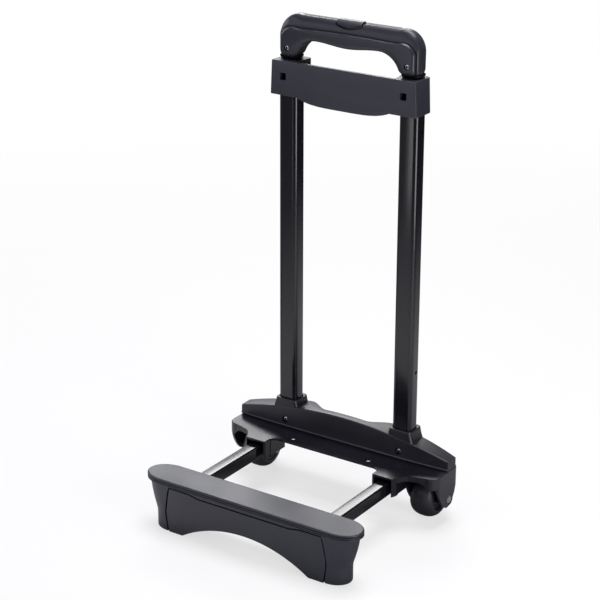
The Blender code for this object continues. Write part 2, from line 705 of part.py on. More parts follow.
def grip_shells(parent):
    """Front and rear shells of the handle, parted in a plane along the grip."""
    stations = grip_stations()
    front = piece("grip_front_shell", "grip_plastic", parent,
                  grip_rings(front_shell_section, stations), smooth=32)
    rear = piece("grip_rear_shell", "grip_plastic", parent,
                 grip_rings(rear_shell_section, stations), smooth=32)
    opening = box_outline((-BUTTON_HALF_LENGTH - SLIDE_GAP, BUTTON_OPENING_FRONT),
                          (BUTTON_HALF_LENGTH + SLIDE_GAP, BUTTON_OPENING_BACK))
    button_hole = [along_z(opening, YOKE_BOTTOM - BUTTON_TRAVEL),
                   along_z(opening, GRIP_TOP + BUTTON_RISE)]
    slack = SEAT_GAP
    insert_groove = box_outline((-INSERT_HALF_LENGTH - slack, INSERT_FRONT - slack),
                                (INSERT_HALF_LENGTH + slack, INSERT_BACK + slack))
    groove = [along_z(insert_groove, GRIP_TOP - INSERT_DEPTH - slack),
              along_z(insert_groove, GRIP_TOP + BUTTON_RISE)]
    for label, shell in (("front", front), ("rear", rear)):
        cut(shell, f"button_opening_{label}", [button_hole], parent)
        cut(shell, f"insert_groove_{label}", [groove], parent)
    for label, side in sides():
        spot = (side * GRIP_SCREW_SPOT[0], GRIP_SCREW_SPOT[1])
        cut(front, f"grip_screw_seat_{label}",
            [screw_hole(spot, SCREW_HEAD_RADIUS + SEAT_GAP, GRIP_FRONT, GRIP_SCREW_RECESS,
                        GRIP_PARTING)], parent)


def grip_insert(parent):
    """Soft strip let into the top of the grip, slotted for the button."""
    outline = rounded_rectangle(2 * INSERT_HALF_LENGTH, INSERT_BACK - INSERT_FRONT, 0.0030,
                                centre=(0, (INSERT_FRONT + INSERT_BACK) / 2))
    low = GRIP_TOP - INSERT_DEPTH
    high = GRIP_TOP + INSERT_PROUD
    strip = piece("grip_top_insert", "soft_insert", parent,
                  [along_z(outline, low), along_z(outline, high - 0.0005),
                   along_z(inset(outline, 0.0005), high)])
    slot = box_outline((-BUTTON_HALF_LENGTH - SLIDE_GAP, BUTTON_OPENING_FRONT),
                       (BUTTON_HALF_LENGTH + SLIDE_GAP, INSERT_BACK - 0.0012))
    cut(strip, "insert_slot", [[along_z(slot, low - BUTTON_RISE),
                                along_z(slot, high + BUTTON_RISE)]], parent)


def screw(name, parent, spot, face, finish="zinc_steel"):
    """Pan-head screw along Y; its head's back rests on the face."""
    head = circle(SCREW_HEAD_RADIUS, SCREW_STEPS)
    crown = circle(SCREW_HEAD_RADIUS * 0.72, SCREW_STEPS)
    shank = circle(SCREW_SHANK_RADIUS, SCREW_STEPS)
    seat = -SEAT_GAP
    rings = [along_y(crown, seat - SCREW_HEAD_HEIGHT),
             along_y(head, seat - SCREW_HEAD_HEIGHT * 0.55), along_y(head, seat),
             along_y(shank, seat), along_y(shank, seat + SCREW_SHANK_LENGTH)]
    made = piece(name, finish, parent, rings)
    made.location = (spot[0], face, spot[1])
    return made


def grip_screws(parent):
    for label, side in sides():
        screw(f"grip_screw_{label}", parent,
              (side * GRIP_SCREW_SPOT[0], GRIP_SCREW_SPOT[1]), GRIP_FRONT + GRIP_SCREW_RECESS)


def button_profile(x, top):
    """Section of the button; its lip ends in a crescent that is deepest in the middle."""
    share = x / BUTTON_HALF_LENGTH
    depth = BUTTON_LIP_END + (BUTTON_LIP_HEIGHT - BUTTON_LIP_END) * (1 - share * share)
    lip = GRIP_TOP - depth
    stem = YOKE_BOTTOM + YOKE_HEIGHT + SEAT_GAP
    stem_front = BUTTON_OPENING_FRONT + SLIDE_GAP
    back = INSERT_BACK - 0.0016
    profile = [(BUTTON_FRONT, lip), (BUTTON_LIP_INSIDE, lip), (BUTTON_LIP_INSIDE, GRIP_TOP),
               (stem_front, GRIP_TOP), (stem_front, stem), (back, stem),
               (back, GRIP_TOP + INSERT_PROUD + BUTTON_TRAVEL / 8)]
    profile += arc((back - 0.0018, top - 0.0018), 0.0018, 0, 90, 3)
    return profile + arc((BUTTON_FRONT + 0.0040, top - 0.0040), 0.0040, 90, 180, 5)


def release_button(parent):
    """Push button, hooked over the front of the grip, with the yoke and rods it drives."""
    top = GRIP_TOP + BUTTON_RISE
    half = BUTTON_HALF_LENGTH
    shoulder = 0.0008
    rings = [along_x(button_profile(-half, top - shoulder / 2), -half)]
    for step in range(BUTTON_LIP_STEPS + 1):
        x = (half - shoulder) * (2 * step / BUTTON_LIP_STEPS - 1)
        rings.append(along_x(button_profile(x, top), x))
    rings.append(along_x(button_profile(half, top - shoulder / 2), half))
    piece("release_button", "grip_plastic", parent, rings)
    reach = UPRIGHT_SPACING / 2 + PUSH_ROD_RADIUS + 0.0006
    bar = rounded_rectangle(2 * reach, YOKE_WIDTH, 0.0015)
    piece("release_yoke", "nylon", parent,
          [along_z(bar, YOKE_BOTTOM), along_z(bar, YOKE_BOTTOM + YOKE_HEIGHT)])
    for label, side in sides():
        outline = circle(PUSH_ROD_RADIUS, 10, centre=(side * UPRIGHT_SPACING / 2, 0))
        low = INNER_PIN_HEIGHT + PIN_RADIUS + BUTTON_TRAVEL + 2 * SEAT_GAP
        piece(f"push_rod_{label}", "zinc_steel", parent,
              [along_z(outline, low), along_z(outline, YOKE_BOTTOM - SEAT_GAP)])


def crossbar_plate_outline():
    """Front view of the plate, with its belly between the bosses."""
    half, flare = CROSSBAR_HALF_WIDTH, CROSSBAR_FLARE
    low = []
    for step in range(-BELLY_STEPS, BELLY_STEPS + 1):
        share = step / BELLY_STEPS
        low.append((CROSSBAR_BELLY_HALF * share,
                    CROSSBAR_BOTTOM - CROSSBAR_BELLY * (1 - share ** 4)))
    return ([(-half - flare, CROSSBAR_BOTTOM)] + low +
            [(half + flare, CROSSBAR_BOTTOM), (half, CROSSBAR_TOP), (-half, CROSSBAR_TOP)])


def boss_outline(side, middle_y, depth, flare):
    """Plan of a boss, whose inner side splays towards the back."""
    centre_x = CROSSBAR_HALF_WIDTH - BOSS_WIDTH / 2
    points = []
    for x, y in rounded_rectangle(BOSS_WIDTH, depth, BOSS_CORNER, 4):
        back = (y + depth / 2) / depth
        shift = flare if x > 0 else -BOSS_SPLAY * back
        points.append((side * (centre_x + x + shift), middle_y + y))
    return points


def crossbar(parent):
    """Moulded bar that ties the uprights: a plate, two bosses and ribs behind it."""
    outline = crossbar_plate_outline()
    edge = 0.0009
    plate_back = CROSSBAR_FRONT + CROSSBAR_PLATE
    bar = piece("crossbar", "moulded_plastic", parent,
                [along_y(inset(outline, edge), CROSSBAR_FRONT),
                 along_y(outline, CROSSBAR_FRONT + edge), along_y(outline, plate_back)])
    boss_depth = CROSSBAR_BACK - CROSSBAR_FRONT - edge * 1.5
    boss_y = CROSSBAR_BACK - boss_depth / 2
    for label, side in sides():
        low = boss_outline(side, boss_y, boss_depth, CROSSBAR_FLARE)
        high = boss_outline(side, boss_y, boss_depth, 0.0)
        fuse(bar, f"crossbar_boss_{label}",
             [[along_z(low, CROSSBAR_BOTTOM), along_z(high, CROSSBAR_TOP)]], parent)
    ribs = []
    for spot in CROSSBAR_RIBS:
        rib = box_outline((spot - RIB_THICKNESS / 2, plate_back - edge),
                          (spot + RIB_THICKNESS / 2, plate_back + RIB_DEPTH))
        ribs.append([along_z(rib, CROSSBAR_BOTTOM), along_z(rib, CROSSBAR_TOP - RIB_DEPTH)])
    fuse(bar, "crossbar_rib", ribs, parent)
    for label, side in sides():
        centre = (side * UPRIGHT_SPACING / 2, 0)
        bore = rounded_rectangle(UPRIGHT_WIDTH + 2 * SEAT_GAP, UPRIGHT_DEPTH + 2 * SEAT_GAP,
                                 UPRIGHT_CORNER, centre=centre)
        shoulder = UPRIGHT_TOP + SEAT_GAP
        cut(bar, f"crossbar_bore_{label}",
            [[along_z(bore, CROSSBAR_BOTTOM - edge), along_z(bore, shoulder)]], parent)
        width, depth, corner, _ = nested_section(1)
        margin = 2 * CROSSBAR_MOUTH_MARGIN
        mouth = rounded_rectangle(width + margin, depth + margin, corner + margin / 2,
                                  centre=centre)
        cut(bar, f"crossbar_mouth_{label}",
            [[along_z(mouth, shoulder - edge), along_z(mouth, CROSSBAR_TOP + edge)]], parent)
        window = rounded_rectangle(CROSSBAR_SLOT, CROSSBAR_SLOT, 0.0006, 2,
                                   (side * (UPRIGHT_SPACING / 2 - 0.0016),
                                    CROSSBAR_SLOT_HEIGHT))
        cut(bar, f"crossbar_window_{label}",
            [[along_y(window, CROSSBAR_FRONT - edge), along_y(window, 0.0)]], parent)


def cover_shape(x):
    """Front at the foot, back and crown of the cover at a distance from the middle."""
    share = abs(x) / COVER_END
    front = COVER_FRONT + COVER_END_SET_BACK * share ** 4
    crown = COVER_CROWN - COVER_CROWN_DROP * share ** 2
    back = COVER_BACK - COVER_BACK_DROP * share ** 3
    start, stop = COVER_WAIST
    bend = min(max((abs(x) - start) / (stop - start), 0.0), 1.0)
    swell = bend * bend * (3 - 2 * bend)
    return front, COVER_WAIST_BACK + (back - COVER_WAIST_BACK) * swell, crown


def leaned(front, height):
    """Y of the leaning front wall at a height, given where it stands at its foot."""
    return front + COVER_LEAN * (height - PLATE_TOP)


def cover_section(x):
    front, back, crown = cover_shape(x)
    foot = PLATE_TOP + SEAT_GAP
    lip = front - COVER_LIP
    face_foot = foot + COVER_LIP_HEIGHT + 0.0006
    top_front = leaned(front, crown)
    rounding = arc((top_front + COVER_EDGE, crown - COVER_EDGE), COVER_EDGE, 90, 180, 2)
    return ([(lip, foot), (back, foot), (back, crown - COVER_EDGE),
             (back - COVER_EDGE, crown)] + rounding
            + [(leaned(front, face_foot), face_foot), (lip, foot + COVER_LIP_HEIGHT)])


def cover_positions():
    """Where the cover's sections stand; they are closer together along its waist."""
    stops = (0.0,) + COVER_WAIST + (COVER_END,)
    half = [0.0]
    for start, stop, count in zip(stops, stops[1:], COVER_STATION_COUNTS):
        half += [start + (stop - start) * step / count for step in range(1, count + 1)]
    return [-x for x in reversed(half[1:])] + half


def sleeve_ring(side, height, width, back, trim=0.0):
    """Section of a sleeve, whose front follows the cover's leaning wall."""
    front = leaned(COVER_FRONT + SLEEVE_SET_BACK, height)
    centre = (side * UPRIGHT_SPACING / 2, (front + back) / 2)
    outline = rounded_rectangle(width - 2 * trim, back - front - 2 * trim, BOSS_CORNER - trim,
                                4, centre)
    return along_z(outline, height)


def base_cover(parent):
    """Crowned cover with a tapered sleeve round the foot of each upright."""
    rings = [along_x(cover_section(x), x) for x in cover_positions()]
    cover = piece("base_cover", "moulded_plastic", parent, rings)
    trim = COVER_EDGE / 2
    for label, side in sides():
        foot = SLEEVE_WIDTH + SLEEVE_FLARE
        fuse(cover, f"cover_sleeve_{label}",
             [[sleeve_ring(side, PLATE_TOP + 4 * SEAT_GAP, foot, SLEEVE_BACK),
               sleeve_ring(side, COVER_CROWN - COVER_CROWN_DROP / 2, foot, SLEEVE_BACK),
               sleeve_ring(side, SLEEVE_TOP - trim, SLEEVE_WIDTH, SLEEVE_BACK - trim),
               sleeve_ring(side, SLEEVE_TOP, SLEEVE_WIDTH, SLEEVE_BACK - trim, trim)]],
             parent)
    hollow_cover(cover, parent)
    for label, side in sides():
        centre = (side * UPRIGHT_SPACING / 2, 0)
        bore = rounded_rectangle(UPRIGHT_WIDTH + 2 * SEAT_GAP, UPRIGHT_DEPTH + 2 * SEAT_GAP,
                                 UPRIGHT_CORNER, centre=centre)
        cut(cover, f"cover_bore_{label}",
            [[along_z(bore, PLATE_TOP - COVER_EDGE), along_z(bore, SLEEVE_TOP + COVER_EDGE)]],
            parent)
        margin = 2 * SLEEVE_MOUTH_MARGIN
        mouth = rounded_rectangle(UPRIGHT_WIDTH + margin, UPRIGHT_DEPTH + margin,
                                  UPRIGHT_CORNER + margin / 2, centre=centre)
        cut(cover, f"cover_mouth_{label}",
            [[along_z(mouth, SLEEVE_TOP - SLEEVE_MOUTH_DEPTH),
              along_z(mouth, SLEEVE_TOP + COVER_EDGE)]], parent)
        spot = (side * UPRIGHT_SPACING / 2, COVER_SCREW_HEIGHT)
        cut(cover, f"cover_screw_hole_{label}",
            [screw_hole(spot, COVER_SCREW_RECESS_RADIUS, COVER_FRONT, COVER_SCREW_RECESS,
                        -UPRIGHT_DEPTH / 2)], parent)


def hollow_cover(cover, parent):
    """Pockets from below, between and outside the solid parts that hold the uprights."""
    solid = UPRIGHT_WIDTH / 2 + SLEEVE_FLARE / 2 + COVER_WALL
    inner_reach = UPRIGHT_SPACING / 2 - solid
    outer_start = UPRIGHT_SPACING / 2 + solid
    outer_stop = COVER_END - COVER_WALL
    pockets = []
    for start, stop in ((-inner_reach, inner_reach), (outer_start, outer_stop),
                        (-outer_stop, -outer_start)):
        between = [x for x in cover_positions() if start + COVER_WALL < x < stop - COVER_WALL]
        rings = []
        for x in [start] + between + [stop]:
            front, back, crown = cover_shape(x)
            low = (leaned(front, crown) + COVER_WALL, PLATE_TOP - COVER_EDGE)
            high = (back - COVER_WALL, crown - COVER_WALL)
            rings.append(along_x(box_outline(low, high), x))
        pockets.append(rings)
    cut(cover, "cover_pockets", pockets, parent)


def cover_screws(parent):
    for label, side in sides():
        screw(f"cover_screw_{label}", parent,
              (side * UPRIGHT_SPACING / 2, COVER_SCREW_HEIGHT), COVER_FRONT + COVER_SCREW_RECESS)


def tray_outline():
    """Plan of the tray: hoods over the legs and rounded wheel housings."""
    corner = TRAY_BACK_CORNER
    half = [(0.0, TRAY_BACK)]
    half += [(TRAY_HALF_WIDTH - corner, TRAY_BACK)]
    half += arc((TRAY_HALF_WIDTH - corner, TRAY_BACK - corner), corner, 90, 0, 4)[1:]
    half += arc((TRAY_HALF_WIDTH - GUARD_CORNER[0], GUARD_CORNER_START), GUARD_CORNER,
                0, -90, 5)
    half += [(HOOD_OUTER + x, GUARD_FRONT - y) for x, y in GUARD_SWEEP]
    half += [(HOOD_OUTER, HOOD_FRONT + HOOD_CORNER), (HOOD_OUTER - HOOD_CORNER, HOOD_FRONT),
             (HOOD_INNER + HOOD_CORNER, HOOD_FRONT), (HOOD_INNER, HOOD_FRONT + HOOD_CORNER)]
    half += [(HOOD_INNER - x, TRAY_MIDDLE_FRONT - y) for x, y in HOOD_NECK]
    half += [(0.0, TRAY_MIDDLE_FRONT)]
    clockwise = half + [(-x, y) for x, y in reversed(half[1:-1])]
    return list(reversed(clockwise))


def guard_curve():
    """Lower edge of the housing's side wall, as (y, z) from back to front."""
    points = []
    for step in range(GUARD_STEPS, -GUARD_STEPS - 1, -1):
        reach = GUARD_HALF_DEPTH * step / GUARD_STEPS
        points.append((GUARD_TIP_Y + reach, GUARD_BOTTOM + reach ** 2 / GUARD_SPREAD))
    return points


def guard_profile():
    """Side view of the region that is cut away below the housing's walls."""
    roof = PLATE_TOP - PLATE_THICKNESS
    front, back = TRAY_MIDDLE_FRONT * 2, TRAY_BACK * 2
    curve = guard_curve()
    return ([(back, roof), (curve[0][0], roof)] + curve
            + [(curve[-1][0], GUARD_FRONT_HEIGHT), (front, GUARD_FRONT_HEIGHT),
               (front, -GUARD_BOTTOM), (back, -GUARD_BOTTOM)])


def base_tray(parent):
    """Tray under the cover: plate, hoods over the legs, wheel housings and skirts."""
    outline = tray_outline()
    edge = 0.0007
    roof = PLATE_TOP - PLATE_THICKNESS
    tray = piece("base_tray", "moulded_plastic", parent,
                 [along_z(outline, GUARD_BOTTOM), along_z(outline, PLATE_TOP - edge),
                  along_z(inset(outline, edge), PLATE_TOP)])
    cavity = inset(outline, TRAY_WALL)
    cut(tray, "tray_cavity", [[along_z(cavity, 0.0), along_z(cavity, roof)]], parent)
    reach = 2 * TRAY_HALF_WIDTH
    front, back = 2 * HOOD_FRONT, 2 * TRAY_BACK
    middle = box_outline((-HOOD_INNER + edge, front), (HOOD_INNER - edge, TRAY_BACK / 2))
    below_middle = [along_z(middle, 0.0), along_z(middle, roof)]
    cut(tray, "tray_middle", [below_middle], parent)
    between = box_outline((-AXLE_WALL[1], front), (AXLE_WALL[1], TRAY_BACK / 2))
    cut(tray, "tray_below_hoods", [[along_z(between, 0.0), along_z(between, HOOD_BOTTOM)]],
        parent)
    rear = box_outline((-AXLE_WALL[1], 0.0), (AXLE_WALL[1], back))
    cut(tray, "tray_below_skirt", [[along_z(rear, 0.0), along_z(rear, TRAY_REAR_SKIRT)]],
        parent)
    for label, side in sides():
        profile = guard_profile()
        cut(tray, f"tray_guard_profile_{label}",
            [[along_x(profile, side * AXLE_WALL[1]), along_x(profile, side * reach)]], parent)
        hood_walls(tray, label, side, roof, parent)
        wheel_housing(tray, label, side, roof, parent)
        hole = circle(HOLE_RADIUS, 18, centre=(side * HOLE_SPOT[0], HOLE_SPOT[1]))
        cut(tray, f"tray_hole_{label}", [[along_z(hole, roof - edge),
                                          along_z(hole, PLATE_TOP + edge)]], parent)


def hood_walls(tray, label, side, roof, parent):
    """Side walls of the channel that covers a leg, open below and in front."""
    inner = box_outline((side * HOOD_INNER, HOOD_FRONT + 0.0016),
                        (side * HOOD_OPENING[0], HOOD_BACK))
    outer = box_outline((side * HOOD_OPENING[1], HOOD_FRONT + 0.0016),
                        (side * HOOD_OUTER, HOOD_BACK))
    walls = [[along_z(outline, HOOD_BOTTOM), along_z(outline, roof + PLATE_THICKNESS / 2)]
             for outline in (inner, outer)]
    fuse(tray, f"tray_hood_walls_{label}", walls, parent)
    mouth = box_outline((side * HOOD_OPENING[0], 2 * HOOD_FRONT),
                        (side * HOOD_OPENING[1], HOOD_BACK + TRAY_WALL))
    cut(tray, f"tray_hood_mouth_{label}", [[along_z(mouth, 0.0), along_z(mouth, HOOD_ROOF)]],
        parent)


def wheel_housing(tray, label, side, roof, parent):
    """Inner wall, arch and axle boss of one wheel housing."""
    curve = guard_curve()
    wall = ([(curve[0][0], roof + PLATE_THICKNESS / 2)] + curve
            + [(GUARD_SHOULDER, GUARD_FRONT_HEIGHT),
               (GUARD_SHOULDER, roof + PLATE_THICKNESS / 2)])
    fuse(tray, f"tray_axle_wall_{label}",
         [[along_x(wall, side * AXLE_WALL[0]), along_x(wall, side * AXLE_WALL[1])]], parent)
    high = (ARCH_OUTER - ARCH_RADIUS, ARCH_TOP - ARCH_RADIUS)
    curve = [(side * x, z) for x, z in arc(high, ARCH_RADIUS, 0, 90, 7)]
    arch = [(side * ARCH_OUTER, 0.0)] + curve + [(side * AXLE_WALL[1], ARCH_TOP),
                                                 (side * AXLE_WALL[1], 0.0)]
    cut(tray, f"tray_arch_{label}", [[along_y(arch, 2 * HOOD_FRONT),
                                      along_y(arch, GUARD_CORNER_START)]], parent)
    spot = (WHEEL_AXIS_Y, WHEEL_RADIUS)
    boss = circle(AXLE_BOSS_RADIUS, 18, centre=spot)
    outer_face = WHEEL_CENTRE + WHEEL_WIDTH / 2 + 2 * SEAT_GAP
    fuse(tray, f"tray_axle_boss_{label}",
         [[along_x(boss, side * outer_face), along_x(boss, side * (TRAY_HALF_WIDTH - 0.0003))]],
         parent)
    bore = circle(AXLE_RADIUS + SEAT_GAP, 16, centre=spot)
    cut(tray, f"tray_axle_bore_{label}",
        [[along_x(bore, side * HOOD_OPENING[1]), along_x(bore, side * reach_past_wall())]],
        parent)
    head = circle(AXLE_HEAD_RADIUS + 2 * SEAT_GAP, 18, centre=spot)
    cut(tray, f"tray_axle_recess_{label}",
        [[along_x(head, side * axle_head_seat()), along_x(head, side * reach_past_wall())]],
        parent)


def reach_past_wall():
    return TRAY_HALF_WIDTH + AXLE_HEAD_HEIGHT


def axle_head_seat():
    """Where the bolt's head bears, sunk into the wall of the housing."""
    return TRAY_HALF_WIDTH - AXLE_HEAD_HEIGHT


def axle_bolts(parent):
    """Bolt, held by a nut on the inner wall, that each wheel turns on."""
    for label, side in sides():
        head = circle(AXLE_HEAD_RADIUS, 18)
        shank = circle(AXLE_RADIUS, 18)
        seat = axle_head_seat() + SEAT_GAP
        end = AXLE_WALL[0] - NUT_HEIGHT - 3 * SEAT_GAP
        rings = [along_x(circle(AXLE_HEAD_RADIUS * 0.8, 18), side * (seat + AXLE_HEAD_HEIGHT - 0.0006)),
                 along_x(head, side * (seat + AXLE_HEAD_HEIGHT * 0.6)), along_x(head, side * seat),
                 along_x(shank, side * seat), along_x(shank, side * end)]
        bolt = piece(f"axle_bolt_{label}", "zinc_steel", parent, rings)
        bolt.location = (0, WHEEL_AXIS_Y, WHEEL_RADIUS)
        outer = hexagon(NUT_RADIUS, 18)
        bore = circle(AXLE_RADIUS + SEAT_GAP / 2, 18)
        near = AXLE_WALL[0] - SEAT_GAP
        far = near - NUT_HEIGHT
        nut = piece(f"axle_nut_{label}", "zinc_steel", parent,
                    [along_x(outer, side * far), along_x(outer, side * near),
                     along_x(bore, side * near), along_x(bore, side * far)], closed=True)
        nut.location = bolt.location


def turned(name, finish, parent, profile, side, steps=WHEEL_STEPS):
    """Ring turned about X from a closed profile of (x, radius) points."""
    rings = []
    for step in range(steps):
        angle = 2 * math.pi * step / steps
        rings.append([(side * x, radius * math.cos(angle), radius * math.sin(angle))
                      for x, radius in profile])
    made = piece(name, finish, parent, rings, closed=True)
    made.location = (side * WHEEL_CENTRE, WHEEL_AXIS_Y, WHEEL_RADIUS)
    return made


def wheels(parent):
    """Two wheels, each a rounded tyre on a hub."""
    half = WHEEL_WIDTH / 2
    shoulder = WHEEL_SHOULDER
    bore = HUB_RADIUS + SEAT_GAP
    for label, side in sides():
        crown = arc((0.0, WHEEL_RADIUS - shoulder), (half, shoulder), 0, 180, 8)
        turned(f"wheel_tyre_{label}", "tyre_rubber", parent,
               [(-half, bore), (half, bore)] + crown, side)
        web = HUB_WEB / 2
        rim = HUB_RADIUS - HUB_RIM
        hole = AXLE_RADIUS + AXLE_CLEARANCE
        hub_half = half - 0.0010
        boss_half = half
        profile = [(-boss_half, hole), (boss_half, hole), (boss_half, HUB_BOSS_RADIUS),
                   (web, HUB_BOSS_RADIUS + 0.0006), (web, rim - 0.0006), (hub_half, rim),
                   (hub_half, HUB_RADIUS), (-hub_half, HUB_RADIUS), (-hub_half, rim),
                   (-web, rim - 0.0006), (-web, HUB_BOSS_RADIUS + 0.0006),
                   (-boss_half, HUB_BOSS_RADIUS)]
        turned(f"wheel_hub_{label}", "hub_plastic", parent, profile, side)


def leg_centre(side):
    return (side * LEG_SPACING / 2, LEG_TOP - LEG_HEIGHT / 2)


def legs(parent):
    """Leg tubes between the base and the foot bar, and the blocks that seat them."""
    for label, side in sides():
        centre = leg_centre(side)
        outer = rounded_rectangle(LEG_WIDTH, LEG_HEIGHT, LEG_CORNER, centre=centre)
        bore = rounded_rectangle(LEG_WIDTH - 2 * LEG_WALL, LEG_HEIGHT - 2 * LEG_WALL,
                                 LEG_CORNER - LEG_WALL, centre=centre)
        piece(f"leg_tube_{label}", "black_tube", parent,
              [along_y(outer, LEG_BACK), along_y(outer, leg_front()),
               along_y(bore, leg_front()), along_y(bore, LEG_BACK)], closed=True)
        leg_block(label, side, parent)


def leg_block(label, side, parent):
    """Saddle that fills the hood's channel round the rear of a leg."""
    centre = leg_centre(side)
    slack = SEAT_GAP
    left, right = [side * x for x in HOOD_OPENING]
    if left > right:
        left, right = right, left
    bottom = centre[1] - LEG_HEIGHT / 2 + slack
    outline = box_outline((left + slack, bottom), (right - slack, HOOD_ROOF - slack))
    back = HOOD_BACK - slack
    block = piece(f"leg_block_{label}", "nylon", parent,
                  [along_y(outline, back), along_y(outline, LEG_BLOCK_FRONT)])
    channel = rounded_rectangle(LEG_WIDTH + 2 * slack, LEG_HEIGHT + 2 * slack, LEG_CORNER,
                                centre=centre)
    cut(block, f"leg_block_channel_{label}",
        [[along_y(channel, LEG_BACK + slack), along_y(channel, LEG_BLOCK_FRONT - LEG_WALL)]],
        parent)


def foot_outline(half_length, front, back, end_reach):
    """Plan of the foot bar: straight sides with rounded ends."""
    middle = (front + back) / 2
    half_depth = (back - front) / 2
    straight = half_length - end_reach
    right = arc((straight, middle), (end_reach, half_depth), -90, 90, 2 * END_STEPS)
    left = arc((-straight, middle), (end_reach, half_depth), 90, 270, 2 * END_STEPS)
    return right + left


def foot_ring(height, end_inset, side_inset):
    outline = foot_outline(FOOT_HALF_LENGTH - end_inset, FOOT_FRONT + side_inset,
                           FOOT_BACK - side_inset, FOOT_END_REACH - end_inset / 2)
    return along_z(outline, height)


def foot_insets(height):
    """How far the foot's body stands in from the top plate at a height."""
    rim_bottom = FOOT_TOP - FOOT_TOP_PLATE - FOOT_RIM
    share = min(1.0, (rim_bottom - height) / (rim_bottom - FOOT_KNEE))
    return FOOT_END_INSET + FOOT_TAPER_X * share ** 1.5, FOOT_INSET + FOOT_TAPER_Y * share


def foot_top_plate(parent):
    """Bare top plate with a rounded edge, laid on the rim of the foot's body."""
    low = FOOT_TOP - FOOT_TOP_PLATE + SEAT_GAP
    middle = FOOT_TOP - FOOT_TOP_SHOULDER
    rings = [foot_ring(low, FOOT_RIM_INSET, FOOT_RIM_INSET)]
    for angle in (0, 45, 90):
        turn = math.radians(angle)
        stand_in = FOOT_RIM_INSET + FOOT_TOP_SHOULDER * (1 - math.cos(turn))
        rings.append(foot_ring(middle + FOOT_TOP_SHOULDER * math.sin(turn), stand_in, stand_in))
    piece("foot_top_plate", "moulded_plastic", parent, rings)


def arch_outline():
    """Region under the foot bar's arch, as (x, z)."""
    radius = (FOOT_ARCH_HALF ** 2 + FOOT_ARCH_RISE ** 2) / (2 * FOOT_ARCH_RISE)
    spread = math.degrees(math.asin(FOOT_ARCH_HALF / radius))
    centre = (0.0, FOOT_ARCH_RISE - radius)
    curve = arc(centre, radius, 90 + spread, 90 - spread, ARCH_STEPS)
    return curve + [(FOOT_ARCH_HALF, -FOOT_ARCH_RISE), (-FOOT_ARCH_HALF, -FOOT_ARCH_RISE)]


def panel_outline(margin):
    """Front view of the pull-out panel, grown by a margin; its foot reaches the floor."""
    half = [(0.0, PANEL_TOP_MIDDLE + margin), (PANEL_STEP_INNER, PANEL_TOP_MIDDLE + margin),
            (PANEL_STEP_OUTER, PANEL_TOP_CORNER - 0.0004 + margin),
            (PANEL_TOP_HALF - 0.0015, PANEL_TOP_CORNER + margin),
            (PANEL_TOP_HALF + margin, PANEL_TOP_CORNER - 0.0015),
            (PANEL_KNEE_HALF + margin, FOOT_KNEE), (PANEL_FOOT_HALF + margin, 0.0),
            (PANEL_FOOT_HALF + margin, -margin)]
    return half + [(-x, z) for x, z in reversed(half[1:])]


def foot_body(parent):
    """Foot bar's body: tapered shell, open below, with a bay for the panel."""
    rim_top = FOOT_TOP - FOOT_TOP_PLATE
    rim_bottom = rim_top - FOOT_RIM
    rings = [foot_ring(0.0, *[i + FOOT_EDGE * 1.3 for i in foot_insets(0.0)]),
             foot_ring(FOOT_EDGE * 0.4, *[i + FOOT_EDGE * 0.4 for i in foot_insets(0.0)]),
             foot_ring(FOOT_EDGE * 1.4, *foot_insets(0.0)),
             foot_ring(FOOT_KNEE, *foot_insets(FOOT_KNEE))]
    for share in (0.5, 1.0):
        height = FOOT_KNEE + (rim_bottom - FOOT_KNEE) * share
        rings.append(foot_ring(height, *foot_insets(height)))
    rings += [foot_ring(rim_bottom + FOOT_RIM * 0.1, FOOT_RIM_INSET, FOOT_RIM_INSET),
              foot_ring(rim_top - FOOT_RIM * 0.1, FOOT_RIM_INSET, FOOT_RIM_INSET),
              foot_ring(rim_top, FOOT_RIM_INSET * 2, FOOT_RIM_INSET * 2)]
    body = piece("foot_body", "moulded_plastic", parent, rings)
    wall = FOOT_WALL
    hollow = []
    for height in (-wall, FOOT_KNEE, rim_bottom - wall / 2):
        reach = foot_insets(height)[1] + wall
        hollow.append(along_z(box_outline((-FOOT_HOLLOW_HALF, FOOT_FRONT + reach),
                                          (FOOT_HOLLOW_HALF, FOOT_BACK - reach)), height))
    cut(body, "foot_hollow", [hollow], parent)
    arch = arch_outline()
    cut(body, "foot_arch", [[along_y(arch, 2 * FOOT_FRONT), along_y(arch, 0.0)]], parent)
    bay = panel_outline(PANEL_GAP)
    cut(body, "foot_panel_bay", [[along_y(bay, FOOT_FRONT * 1.1),
                                  along_y(bay, panel_back() + PANEL_GAP)]], parent)
    for label, side in sides():
        socket = rounded_rectangle(LEG_WIDTH + 2 * SEAT_GAP, LEG_HEIGHT + 2 * SEAT_GAP,
                                   LEG_CORNER, centre=leg_centre(side))
        cut(body, f"foot_leg_socket_{label}",
            [[along_y(socket, leg_front() - SEAT_GAP), along_y(socket, FOOT_BACK + wall)]],
            parent)
        passage = rod_outline(side, SLIDE_GAP)
        cut(body, f"foot_rod_passage_{label}",
            [[along_y(passage, panel_back()), along_y(passage, leg_front() + wall)]], parent)


def panel_back():
    return FOOT_FRONT + FOOT_INSET + PANEL_RETURN


def leg_front():
    """Where the leg tubes end, inside the foot bar."""
    return panel_back() + PANEL_GAP + FOOT_WALL


def panel_front(height):
    return FOOT_FRONT + foot_insets(height)[1]


